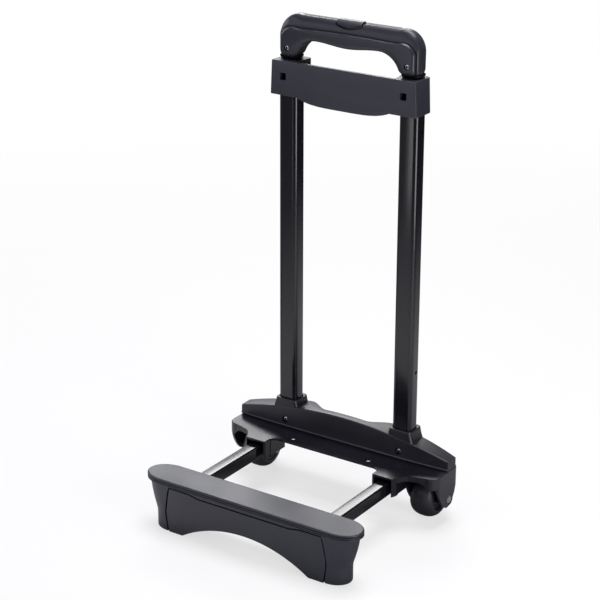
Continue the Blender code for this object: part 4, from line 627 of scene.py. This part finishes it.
def cover():
    stations = [COVER_END * step / 40 for step in range(-40, 41)]
    made = skin("cover", [across(cover_section(x), x) for x in stations])
    carve(made, [sleeve(side) for _, side in SIDES], "UNION")
    solid = 0.0180
    cuts = []
    for start, stop in ((solid - UPRIGHT_X, UPRIGHT_X - solid),
                        (UPRIGHT_X + solid, COVER_END - 0.0025),
                        (0.0025 - COVER_END, -UPRIGHT_X - solid)):
        rings = []
        for step in range(13):
            x = start + (stop - start) * step / 12
            section = cover_section(x)
            crown = max(z for _, z in section)
            front = lean(min(y for y, _ in section) + 0.0018, crown) + 0.0025
            back = max(y for y, _ in section) - 0.0025
            rings.append(across([(front, 0.0585), (back, 0.0585), (back, crown - 0.0025),
                                 (front, crown - 0.0025)], x))
        cuts.append(rings)
    for _, side in SIDES:
        centre = (side * UPRIGHT_X, 0.0)
        cuts.append([standing(rounded(0.0239, 0.0185, 0.0050, centre), z) for z in (0.058, 0.096)])
        cuts.append([standing(rounded(w, w - 0.0054, 0.0060, centre), z)
                     for w, z in ((0.0248, 0.0902), (0.0252, 0.0958))])
        cuts.append([lying(circle(0.0040, 32, (side * UPRIGHT_X, SCREW_HEIGHT)), y)
                     for y in (-0.0180, SCREW_SEAT)])
        cuts.append([lying(circle(0.0016, 24, (side * UPRIGHT_X, SCREW_HEIGHT)), y)
                     for y in (-0.0128, -0.0080)])
    carve(made, cuts)
    return made


def circle(radius, steps, centre=(0.0, 0.0)):
    return arc(centre, radius, 0, 360 - 360 / steps, steps - 1)


cover_black = moulded("cover_black", (0.005, 0.005, 0.009), (0.014, 0.014, 0.021), 0.36,
                      0.0008, 0.00002)
fit(cover(), cover_black, "frame", "base_cover", width=0.0003)
rings = []
for step in range(-40, 41):
    x = COVER_END * step / 40
    front = -0.0140 + 0.0026 * (abs(x) / COVER_END) ** 4
    rings.append(across([(front + 0.0004, COVER_FOOT + 0.0030), (front + 0.0004, COVER_FOOT + 0.0012)]
                        + arc((front - 0.0001, COVER_FOOT + 0.0021), (0.0009, 0.0009), 265, 95, 8), x))
# Painted highlight: the bead along the cover's foot is lighter than the cover, so it reads as a light
# line.
bead_painted_highlight = moulded("bead_painted_highlight", (0.030, 0.030, 0.040), (0.050, 0.050, 0.062), 0.34,
                     0.0008, 0.00002)
rim_line = skin("cover_bead", rings)
rim_line.data.materials.append(bead_painted_highlight)
soften(rim_line, 0.0001)
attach(rim_line, "frame")


def cross_screw(label, spot):
    """Pan-head screw with a cross slot."""
    profile = [(0.0012, 0.0053), (0.0013, 0.0049), (0.0013, -0.0003), (0.0028, -0.0003),
               (0.0029, -0.0009), (0.00285, -0.00115), (0.0026, -0.0014), (0.0021, -0.0016),
               (0.0014, -0.0017), (0.0007, -0.00176)]
    rings = [lying(circle(radius, 40, spot), SCREW_SEAT + depth) for radius, depth in profile]
    made = skin(label, rings)
    slots = []
    for width, height in ((0.0038, 0.0012), (0.0012, 0.0038)):
        slots.append([lying([(spot[0] + x * s, spot[1] + z * s)
                             for x, z in ((-width / 2, -height / 2), (width / 2, -height / 2),
                                          (width / 2, height / 2), (-width / 2, height / 2))],
                            SCREW_SEAT + y) for s, y in ((1.0, -0.0022), (0.75, 0.0008))])
    carve(made, slots)
    return made


# Painted shade: this copy of the zinc is coloured nearly black wherever it lies more than about 1 mm
# behind the head's front, so the cross slots read dark.
screw_zinc_shaded_slots = bright_zinc.copy()
screw_zinc_shaded_slots.name = "screw_zinc_shaded_slots"
tree, shader = screw_zinc_shaded_slots.node_tree, screw_zinc_shaded_slots.node_tree.nodes["Principled BSDF"]
split = tree.nodes.new("ShaderNodeSeparateXYZ")
tree.links.new(tree.nodes.new("ShaderNodeTexCoord").outputs["Object"], split.inputs[0])
face = UPRIGHT_PLANE + SCREW_SEAT
painted_slot_shade = add_range(tree, split.outputs["Y"], face - 0.0012, face - 0.0010)
feed(tree, add_mix(tree, painted_slot_shade, shader.inputs["Base Color"].links[0].from_socket,
                   (0.006, 0.006, 0.007)), shader.inputs["Base Color"])
for label, side in SIDES:
    fit(cross_screw(f"cover_cross_{label}", (side * UPRIGHT_X, SCREW_HEIGHT)), screw_zinc_shaded_slots,
        "frame", f"cover_screw_{label}", width=0.00008)

# Uprights. Extruded aluminium tubes with rounded corners, gloss black anodised after
# drilling, with faint drawing lines. Each is drilled for a lock pin and notched at the back.
SECTIONS = {"upright": (0.0234, 0.0180, 0.0050, 0.0014), "middle": (0.0200, 0.0146, 0.0035, 0.0010),
            "inner": (0.0146, 0.0096, 0.0025, 0.0010)}
PIN_BEHIND = 0.0015
UPRIGHT_TOP = 0.4840


def tube(kind, label, side, bottom, top, holes=(), notches=()):
    """An upright tube with round holes on its outer side; a hole is (y, height)."""
    width, depth, corner, wall = SECTIONS[kind]
    centre = (side * UPRIGHT_X, 0.0)
    outer = rounded(width, depth, corner, centre, 10)
    bore = rounded(width - 2 * wall, depth - 2 * wall, corner - wall, centre, 10)
    made = skin(f"{kind}_{label}", [standing(outer, bottom), standing(outer, top),
                                    standing(bore, top), standing(bore, bottom)], closed=True)
    cuts = [[across(circle(0.0019, 28, hole), side * reach)
             for reach in (UPRIGHT_X, UPRIGHT_X + width)] for hole in holes]
    carve(made, cuts + list(notches))
    return made


def notch(side):
    """Square bite in the back corner that faces right or left."""
    corner = (side * UPRIGHT_X + 0.0115 * side, 0.0088)
    return [standing(rounded(0.0060, 0.0060, 0.0015, corner, 6), z) for z in (0.1459, 0.1517)]


upright_black = drawn("upright_black", (0.005, 0.005, 0.008), 0.13, (1.0, 1.0, 0.02))
for label, side in SIDES:
    screw_bore = [lying(circle(0.0016, 20, (side * UPRIGHT_X, SCREW_HEIGHT)), y)
                  for y in (-0.0176, 0.0)]
    made = tube("upright", label, side, COVER_FOOT, UPRIGHT_TOP,
                [(PIN_BEHIND, 0.1610), (PIN_BEHIND, 0.4310)], [screw_bore, notch(side)])
    fit(made, upright_black, "frame", f"upright_tube_{label}")

# Middle stage. A thinner tube that slides in each upright, stopped by a sprung steel pin in
# a nylon plug at its foot; a nylon collar on top guides the inner tube.
for label, side in SIDES:
    made = tube("middle", label, side, 0.1380, UPRIGHT_TOP,
                [(PIN_BEHIND, 0.1610), (0.0, 0.1960), (0.0, 0.4410)])
    fit(made, upright_black, "middle_stage", f"middle_tube_{label}")
dress([f"{part}_{label}" for label, _ in SIDES
       for part in ("middle_lock_plug", "middle_collar", "inner_lock_plug")], nylon_black)
dress([f"{part}_{label}" for label, _ in SIDES
       for part in ("middle_lock_pin", "inner_lock_pin")], bright_zinc, 0.0001)

# Inner stage. The narrowest tubes carry the handle. Steel push rods run down inside them
# from a nylon yoke under the button and draw the lower lock pins in.
for label, side in SIDES:
    made = tube("inner", label, side, 0.1820, 0.5120, [(0.0, 0.1960)])
    fit(made, upright_black, "handle", f"inner_tube_{label}")
    rod = skin(f"rod_{label}", [standing(circle(0.0015, 24, (side * UPRIGHT_X, 0.0)), z)
                                for z in (0.2012, 0.5197)])
    fit(rod, bright_zinc, "release", f"push_rod_{label}")
dress(["release_yoke"], nylon_black)

# Crossbar. One satin ABS moulding, a little lighter than the cover, with a deep boss round
# each upright and a bellied plate between them. Square windows show the tool's core pins.
CROSS_TOP, CROSS_FOOT = 0.4876, 0.4500
CROSS_FRONT, CROSS_BACK = -0.0186, 0.0128
CROSS_HALF = 0.0889


def plate_outline():
    """Front view of the plate, anticlockwise from its lower left corner."""
    belly = [(0.0575 * step / 24, CROSS_FOOT - 0.0064 * (1 - (step / 24) ** 4))
             for step in range(-24, 25)]
    half = CROSS_HALF + 0.0016
    ends = [(half - 0.0008, CROSS_FOOT + 0.0001), (half - 0.0001, CROSS_FOOT + 0.0009),
            (CROSS_HALF, CROSS_TOP - 0.0008), (CROSS_HALF - 0.0008, CROSS_TOP)]
    return [(-x, z) for x, z in reversed(ends[:2])] + belly + ends + [
        (-x, z) for x, z in reversed(ends[2:])]


def boss(side):
    """A boss round an upright, whose inner side splays towards the back."""
    rings = []
    depth = CROSS_BACK - CROSS_FRONT - 0.0013
    for height, flare, trim in ((CROSS_FOOT, 0.0016, 0.0004), (CROSS_FOOT + 0.0004, 0.0016, 0),
                                (CROSS_TOP - 0.0009, 0, 0), (CROSS_TOP - 0.0003, 0, 0.0002),
                                (CROSS_TOP, 0, 0.0008)):
        plan = rounded(0.0266 - 2 * trim, depth - 2 * trim, 0.0040, (0.0, 0.0), 8)
        ring = []
        for x, y in plan:
            shift = flare if x > 0 else -0.0050 * (y + depth / 2) / depth
            ring.append((side * (CROSS_HALF - 0.0133 + x + shift),
                         CROSS_BACK - depth / 2 + y))
        rings.append(standing(ring, height))
    return rings


def crossbar():
    outline = plate_outline()
    edge = 0.0009
    rings = []
    for step in range(5):
        turn = math.radians(90 * step / 4)
        rings.append(lying(inset(outline, edge * (1 - math.sin(turn))),
                           CROSS_FRONT + edge * (1 - math.cos(turn))))
    made = skin("cross_bar", rings + [lying(outline, CROSS_FRONT + 0.0040)])
    ribs = [block((x - 0.0009, CROSS_FRONT + 0.0031, CROSS_FOOT),
                  (x + 0.0009, CROSS_FRONT + 0.0090, CROSS_TOP - 0.0050))
            for x in (-0.036, -0.012, 0.012, 0.036)]
    carve(made, [boss(side) for _, side in SIDES] + ribs, "UNION")
    cuts = []
    for _, side in SIDES:
        centre = (side * UPRIGHT_X, 0.0)
        cuts.append([standing(rounded(0.0239, 0.0185, 0.0050, centre), z)
                     for z in (0.4480, UPRIGHT_TOP + 0.0003)])
        cuts.append([standing(rounded(0.0220, 0.0166, 0.0045, centre), z)
                     for z in (UPRIGHT_TOP - 0.0006, 0.4890)])
        window = rounded(0.0078, 0.0078, 0.0006, (side * (UPRIGHT_X - 0.0008), 0.4708), 4)
        cuts.append([lying(window, y) for y in (-0.0200, 0.0)])
    carve(made, cuts)
    return made


cross_black = moulded("cross_black", (0.024, 0.024, 0.036), (0.042, 0.042, 0.056), 0.42,
                      0.0008, 0.00003)
fit(crossbar(), cross_black, "frame", "crossbar", width=0.0004)

# Hand grip. Front and rear shells of satin ABS, parted along a groove and held by two
# screws, round the bent-over tops of the tubes. Black nylon collars close its legs.
GRIP_TOP, GRIP_END = 0.5360, 0.4922
PARTING = -0.0088
GRIP_SCREW = (0.0740, 0.5005)


def grip_stations():
    """Points on the grip's inner and outer lines, from the right leg to the left."""
    centre = Vector((0.0647 - 0.0260, 0.5115 - 0.0260))
    first = math.asin((GRIP_END - centre.y) / 0.0260)
    shares = [0.0, 0.006, 0.014, 0.026, 0.040, 0.055] + [0.055 + 0.945 * i / 26
                                                      for i in range(1, 27)]
    half = []
    for share in shares:
        angle = first + (math.pi / 2 - first) * share
        inner = centre + 0.0260 * Vector((math.cos(angle), math.sin(angle)))
        travelled = share * (0.0225 + 0.0110 * math.pi)
        turn = max(travelled - 0.0225, 0.0) / 0.0220
        outer = Vector((0.0864 - 0.0220 * (1 - math.cos(turn)),
                        GRIP_END + min(travelled, 0.0225) + 0.0220 * math.sin(turn)))
        half.append((inner, outer))
    inner_start, outer_start = half[-1]
    for step in range(1, 15):
        share = 1 - step / 14
        sink = 0.0030 * math.cos(share * math.pi / 2) ** 2
        half.append((Vector((inner_start.x * share, 0.5115 - sink)),
                     Vector((outer_start.x * share, GRIP_TOP))))
    return half + [(Vector((-i.x, i.y)), Vector((-o.x, o.y))) for i, o in reversed(half[:-1])]


def past_rim(spot):
    """How far a point lies inside the front shell's rim: it runs well below the grip's top
    and sweeps out at the corners, nearly to the sides."""
    x, up = abs(spot.x) - 0.0644, max(spot.y - 0.5140, 0.0)
    if x < 0.0:
        swell = min(abs(spot.x) / 0.0500, 1.0) ** 1.5
        lift = max(x / 0.0144 + 1.0, 0.0) ** 5
        return GRIP_TOP - spot.y - 0.0120 - 0.0011 * swell + 0.0008 * lift
    turned = math.degrees(math.atan2(x, up)) / 90
    return 0.0097 + 0.0050 * turned + 0.0037 * turned ** 3 - math.hypot(x, up)


def front_edge(inner, along, height):
    """Where a station crosses that rim, measured from the palm."""
    low, high = 0.0, height
    for _ in range(30):
        middle = (low + high) / 2
        if past_rim(inner + along * middle) > 0:
            low = middle
        else:
            high = middle
    return low


def front_section(_height, step):
    """Outside and inside of the front shell: u from the palm outwards, v from the tubes."""
    edge = PARTING - 0.0004
    palm = min(0.0085, step - 0.0040)
    outside = [(0.0004, edge)] + arc((palm, -0.0094), (palm, 0.0036), 180, 270, 12)
    outside += arc((step - 0.0034, edge), (0.0034, 0.0130 + edge), 270, 360, 14)
    inside = [(step - 0.0016, edge)]
    inside += arc((step - 0.0034, edge), (0.0018, 0.0114 + edge), 345, 270, 6)
    inside += arc((palm, -0.0094), (palm - 0.0016, 0.0020), 270, 180, 6) + [(0.0016, edge)]
    return outside, inside


CROWN_FRONT, CROWN_RISE = -0.0010, 0.0078   # where the crown meets the flat top; its depth


def rear_section(height, step):
    """The rear shell wraps over the top in a long crown that meets the front shell."""
    edge = PARTING + 0.0004
    outside = [(step - 0.0012, edge), (step + 0.0008, edge)]
    outside += arc((step + 0.0010, CROWN_FRONT), (height - step - 0.0010, CROWN_RISE), 272, 360, 18)
    outside += arc((height - 0.0075, 0.0020), (0.0075, 0.0095), 0, 90, 12)
    outside += arc((0.0055, 0.0060), 0.0055, 90, 180, 10) + [(0.0, edge + 0.0003),
                                                            (0.0004, edge)]
    inside = [(0.0016, edge)] + arc((0.0055, 0.0060), 0.0039, 180, 90, 5)
    inside += arc((height - 0.0075, 0.0020), (0.0059, 0.0079), 90, 0, 6)
    inside += [(height - 0.0016, CROWN_FRONT), (step + 0.0012, -0.0066), (step - 0.0012, -0.0066)]
    return outside, inside


def grip_shell(label, section):
    """A shell skinned along the grip, its two open ends slightly drawn in."""
    rings = []
    for inner, outer in grip_stations():
        height = (outer - inner).length
        along = (outer - inner) / height
        outside, inside = section(height, front_edge(inner, along, height))
        rise = min(max(min(inner.y, outer.y) - GRIP_END, 0.0) / 0.0032, 1.0)
        draw = 0.12 * (1 - rise) ** 2
        outside = [(u + (height / 2 - u) * draw, v + (-0.00075 - v) * draw)
                   for u, v in outside]
        ring = []
        for u, v in outside + inside:
            spot = inner + along * u
            ring.append((spot.x, UPRIGHT_PLANE + v, spot.y))
        rings.append(ring)
    return skin(label, rings)


MIDDLE_STEP = GRIP_TOP - 0.0110   # foot of the crown in the middle


def thumb_lip(x, half):
    """Height of the crescent's lower edge."""
    return GRIP_TOP - 0.0003 - 0.0037 * (1 - (x / half) ** 2)


def crown_curve(low, growth, steps=10):
    """The crown's front view from the top down to a height, as (y, z), grown by a margin."""
    deep, high = CROWN_RISE + growth, 0.0110 + growth
    last = 180 - math.degrees(math.asin(min((low - MIDDLE_STEP) / high, 0.98)))
    return arc((CROWN_FRONT, MIDDLE_STEP), (deep, high), 90, last, steps)


opening = [block((-0.0163, -0.0060, 0.5170), (0.0163, 0.0065, 0.5400))]
crescent = []
for step in range(-12, 13):
    x = 0.0165 * step / 12
    low = thumb_lip(x, 0.0165) - 0.0035
    curve = crown_curve(low, -0.0030)
    crescent.append(across(curve + [(-0.0150, curve[-1][1]), (-0.0150, 0.5400),
                                    (CROWN_FRONT, 0.5400)], x))
groove = [standing(rounded(0.1206, 0.0068, 0.0034, (0.0, 0.0020)), z)
          for z in (GRIP_TOP - 0.0011, 0.5400)]
front_shell = grip_shell("front_shell", front_section)
rear_shell = grip_shell("rear_shell", rear_section)
seats = []
for _, side in SIDES:
    spot = (side * GRIP_SCREW[0], GRIP_SCREW[1])
    seats.append([lying(circle(0.0032, 36, spot), y) for y in (-0.0150, SCREW_SEAT)])
    seats.append([lying(circle(0.0016, 24, spot), y) for y in (-0.0128, -0.0075)])
carve(front_shell, seats)
carve(rear_shell, opening + [crescent, groove])
grip_black = moulded("grip_black", (0.020, 0.020, 0.030), (0.036, 0.036, 0.048), 0.34,
                     0.0011, 0.00002)
fit(front_shell, grip_black, "handle", "grip_front_shell", width=0.00018)
palm_painted_shade = grip_black.copy()   # painted shade: the rear shell's inner leg sides, below the arch, are coloured deep black and made rougher
palm_painted_shade.name = "palm_painted_shade"
tree, shader = palm_painted_shade.node_tree, palm_painted_shade.node_tree.nodes["Principled BSDF"]
split = tree.nodes.new("ShaderNodeSeparateXYZ")
tree.links.new(tree.nodes.new("ShaderNodeTexCoord").outputs["Object"], split.inputs[0])
painted_shade_mask = add_range(tree, add_math(tree, "ABSOLUTE", split.outputs["X"]), 0.0675, 0.0655)
painted_shade_mask = add_math(tree, "MULTIPLY", painted_shade_mask,
                  add_range(tree, split.outputs["Z"], 0.5170, 0.5130))
for label, number in (("Base Color", (0.003, 0.003, 0.005)), ("Roughness", 0.75)):
    socket = shader.inputs[label]
    source = socket.links[0].from_socket
    if label == "Base Color":
        feed(tree, add_mix(tree, painted_shade_mask, source, number), socket)
    else:
        feed(tree, add_range(tree, painted_shade_mask, 0.0, 1.0, source, number), socket)
fit(rear_shell, palm_painted_shade, "handle", "grip_rear_shell", width=0.00018)
for label, side in SIDES:
    fit(cross_screw(f"grip_cross_{label}", (side * GRIP_SCREW[0], GRIP_SCREW[1])), screw_zinc_shaded_slots,
        "handle", f"grip_screw_{label}", width=0.00008)
    centre = (side * UPRIGHT_X, 0.0)
    outer = [(rounded(0.0146 + grow, 0.0110 + grow, 0.0048, centre), z)
             for grow, z in ((0.0040, 0.4877), (0.0060, 0.4884), (0.0074, 0.4896),
                             (0.0078, 0.4906), (0.0078, 0.4914), (0.0070, 0.4920))]
    bore = rounded(0.0152, 0.0102, 0.0025, centre)
    collar = skin(f"collar_{label}", [standing(o, z) for o, z in outer]
                  + [standing(bore, 0.4920), standing(bore, 0.4877)], closed=True)
    fit(collar, nylon_black, "handle", f"handle_collar_{label}", width=0.0002)

# Soft strip. Matt black elastomer let into the top of the grip behind the parting line,
# slotted for the button.
outline = rounded(0.1200, 0.0062, 0.0031, (0.0, 0.0020))
strip = skin("soft_strip", [standing(outline, GRIP_TOP - 0.0008),
                            standing(outline, GRIP_TOP - 0.0002),
                            standing(inset(outline, 0.0003), GRIP_TOP + 0.0001)])
carve(strip, [block((-0.0163, -0.0112, 0.5340), (0.0163, 0.0065, 0.5390))])
strip_black = moulded("strip_black", (0.014, 0.014, 0.016), (0.028, 0.028, 0.030), 0.58,
                      0.0004, 0.00004)
fit(strip, strip_black, "handle", "grip_top_insert", width=0.00015)

# Release button. A separate satin moulding that hooks over the front of the grip with a
# crescent lip. The thumb pushes it down against a hidden spring.


def button_section(x, grow):
    """Section across the button: a thin hook over the crown, and the stem behind it."""
    low = thumb_lip(x, 0.0158)
    shell = crown_curve(low, 0.0010 + grow)
    hollow = crown_curve(low, 0.0001)
    stem, back = -0.0052, 0.0034
    inner = [point for point in reversed(hollow) if point[0] < stem - 0.0002]
    while len(inner) < 7:
        inner.append((stem - 0.0002, (inner[-1][1] if inner else low) + 0.0001))
    profile = shell + inner[:7] + [(stem, 0.5330), (stem, 0.5238), (back, 0.5238)]
    return profile + arc((back - 0.0018, shell[0][1] - 0.0018), 0.0018, 0, 80, 8)


rings = []
for step in range(-22, 23):
    share = step / 22
    x = 0.0155 * math.copysign(1 - (1 - abs(share)) ** 1.6, share)
    ease = max(abs(x) - 0.0145, 0.0) / 0.0010
    rings.append(across(button_section(x, 0.0004 * math.sqrt(1 - ease * ease) + 0.0004), x))
button = skin("thumb_button", rings)
button_black = moulded("button_black", (0.020, 0.020, 0.030), (0.036, 0.036, 0.048), 0.36,
                       0.0010, 0.00002)
fit(button, button_black, "release", "release_button", width=0.0002)

# Photographer's set: a pale floor, lit mostly from above and behind, in front of a white
# backdrop. The room in front of the trolley is dimmer than the backdrop.
floor_mesh = bpy.data.meshes.new("floor")
floor_mesh.from_pydata([(-6, -6, 0), (6, -6, 0), (6, 6, 0), (-6, 6, 0)], [], [(0, 1, 2, 3)])
floor = bpy.data.objects.new("floor", floor_mesh)
bpy.context.scene.collection.objects.link(floor)
floor.location.z = -0.0005
floor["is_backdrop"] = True
floor_white = bpy.data.materials.new("floor_white")
floor_white.use_nodes = True
tree = floor_white.node_tree
paper = tree.nodes["Principled BSDF"]
paper.inputs["Roughness"].default_value = 0.9
paper.inputs["Specular IOR Level"].default_value = 0.2
place = tree.nodes.new("ShaderNodeTexCoord").outputs["Object"]
reach = tree.nodes.new("ShaderNodeVectorMath")
reach.operation = "LENGTH"
tree.links.new(place, reach.inputs[0])
paths = tree.nodes.new("ShaderNodeLightPath")
shaded = tree.nodes.new("ShaderNodeVectorMath")
shaded.operation = "DISTANCE"
shaded.inputs[1].default_value = (0.15, 0.05, 0.0)
tree.links.new(place, shaded.inputs[0])
# Painted light: apart from camera rays, the floor's colour darkens with distance and to the back left.
# It falls to a painted shadow round the base, with a painted pool of light to the front left.
painted_floor_light = add_math(tree, "MULTIPLY", add_range(tree, reach.outputs["Value"], 1.20, 0.45),
                add_range(tree, shaded.outputs["Value"], 0.10, 0.42, 0.25, 1.0))
behind = tree.nodes.new("ShaderNodeVectorMath")
behind.operation = "DOT_PRODUCT"
behind.inputs[1].default_value = (0.83, -0.56, 0.0)
tree.links.new(place, behind.inputs[0])
painted_floor_light = add_math(tree, "MULTIPLY", painted_floor_light,
                add_range(tree, behind.outputs["Value"], -0.45, -0.15, 0.1, 1.0))
aside = tree.nodes.new("ShaderNodeVectorMath")
aside.operation = "DOT_PRODUCT"
aside.inputs[1].default_value = (-0.80, -0.60, 0.0)
tree.links.new(place, aside.inputs[0])
painted_light_pool = add_range(tree, aside.outputs["Value"], 0.30, 0.80, 0.0, 0.30)
shade = tree.nodes.new("ShaderNodeMix")
shade.data_type = "RGBA"
shade.inputs["A"].default_value = (0.05, 0.05, 0.055, 1.0)
shade.inputs["B"].default_value = (0.85, 0.85, 0.87, 1.0)
seen = add_math(tree, "MAXIMUM", painted_floor_light, paths.outputs["Is Camera Ray"])
tree.links.new(add_math(tree, "MAXIMUM", seen, painted_light_pool), shade.inputs["Factor"])
tree.links.new(shade.outputs["Result"], paper.inputs["Base Color"])
glow = tree.nodes.new("ShaderNodeEmission")
glow.inputs["Strength"].default_value = 1.0
whiten = tree.nodes.new("ShaderNodeMixShader")
far = add_range(tree, reach.outputs["Value"], 0.45, 1.60, 0.66, 1.0)
tree.links.new(add_math(tree, "MULTIPLY", paths.outputs["Is Camera Ray"], far),
               whiten.inputs["Fac"])
tree.links.new(paper.outputs["BSDF"], whiten.inputs[1])
tree.links.new(glow.outputs["Emission"], whiten.inputs[2])
tree.links.new(whiten.outputs["Shader"], tree.nodes["Material Output"].inputs["Surface"])
floor_mesh.materials.append(floor_white)


def soft_box(name, place, target, size, power):
    lamp = bpy.data.lights.new(name, "AREA")
    lamp.shape = "RECTANGLE"
    lamp.size, lamp.size_y = size
    lamp.energy = power
    holder = bpy.data.objects.new(name, lamp)
    bpy.context.scene.collection.objects.link(holder)
    holder.location = place
    aim = Vector(target) - Vector(place)
    holder.rotation_euler = aim.to_track_quat("-Z", "Y").to_euler()
    return holder


soft_box("box_above", (0.0, 0.25, 1.75), (0, 0, 0.1), (0.9, 0.9), 24)
soft_box("box_behind", (-1.4, 2.1, 1.65), (0, 0, 0.5), (1.4, 0.6), 24)
soft_box("box_low", (-2.0, 1.6, 1.0), (0, 0, 0.1), (0.9, 0.6), 4)
soft_box("box_left", (-2.2, -0.6, 1.0), (0, 0, 0.25), (1.2, 1.2), 8)
soft_box("strip_right", (0.85, -0.30, 0.33), (0, 0, 0.25), (0.50, 0.60), 5)
soft_box("strip_front", (-0.38, -0.82, 0.27), (0, 0, 0.25), (0.07, 0.50), 0.35)

world = bpy.data.worlds.new("white_room")
bpy.context.scene.world = world
world.use_nodes = True
tree = world.node_tree
tree.nodes.clear()


def facing(direction, low, high, to_low, to_high):
    """Brightness of the room that changes along a direction."""
    ahead = tree.nodes.new("ShaderNodeVectorMath")
    ahead.operation = "DOT_PRODUCT"
    ahead.inputs[1].default_value = direction
    tree.links.new(tree.nodes.new("ShaderNodeTexCoord").outputs["Generated"], ahead.inputs[0])
    return add_range(tree, ahead.outputs["Value"], low, high, to_low, to_high)


paths = tree.nodes.new("ShaderNodeLightPath")
backdrop = add_math(tree, "MULTIPLY", facing((-0.52, 0.85, 0.0), 0.50, 0.75, 0.0, 1.0),
                    facing((0.0, 0.0, 1.0), 0.68, 0.58, 0.0, 1.0))
backdrop = add_math(tree, "MULTIPLY", backdrop, facing((-1.0, 0.0, 0.0), 0.44, 0.60, 0.3, 1.0))
wall = add_math(tree, "MULTIPLY", facing((-0.66, -0.75, 0.0), 0.30, 0.80, 0.0, 1.0),
                facing((0.0, 0.0, 1.0), 0.60, 0.30, 0.0, 1.0))
room = add_math(tree, "MAXIMUM", wall, 0.12)
shiny = add_math(tree, "MAXIMUM", paths.outputs["Is Glossy Ray"],
                 paths.outputs["Is Transmission Ray"])
strength = add_math(tree, "MAXIMUM", paths.outputs["Is Camera Ray"],
                    add_math(tree, "MULTIPLY", shiny, backdrop))
air = tree.nodes.new("ShaderNodeBackground")
tree.links.new(add_math(tree, "MAXIMUM", strength, room), air.inputs["Strength"])
feed(tree, add_mix(tree, paths.outputs["Is Camera Ray"], (0.84, 0.86, 1.0), (1.0, 1.0, 1.0)),
     air.inputs["Color"])
tree.links.new(air.outputs["Background"],
               tree.nodes.new("ShaderNodeOutputWorld").inputs["Surface"])

lens = bpy.data.cameras.new("camera")
lens.sensor_width = 36.0
lens.lens = 112.49
camera = bpy.data.objects.new("camera", lens)
bpy.context.scene.collection.objects.link(camera)
camera.location = (1.02525, -1.52915, 0.96101)
camera.rotation_euler = Euler([math.radians(a) for a in (69.0443, -0.1796, 33.9689)])
bpy.context.scene.camera = camera
bpy.context.scene.view_settings.view_transform = "Standard"

low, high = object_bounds()
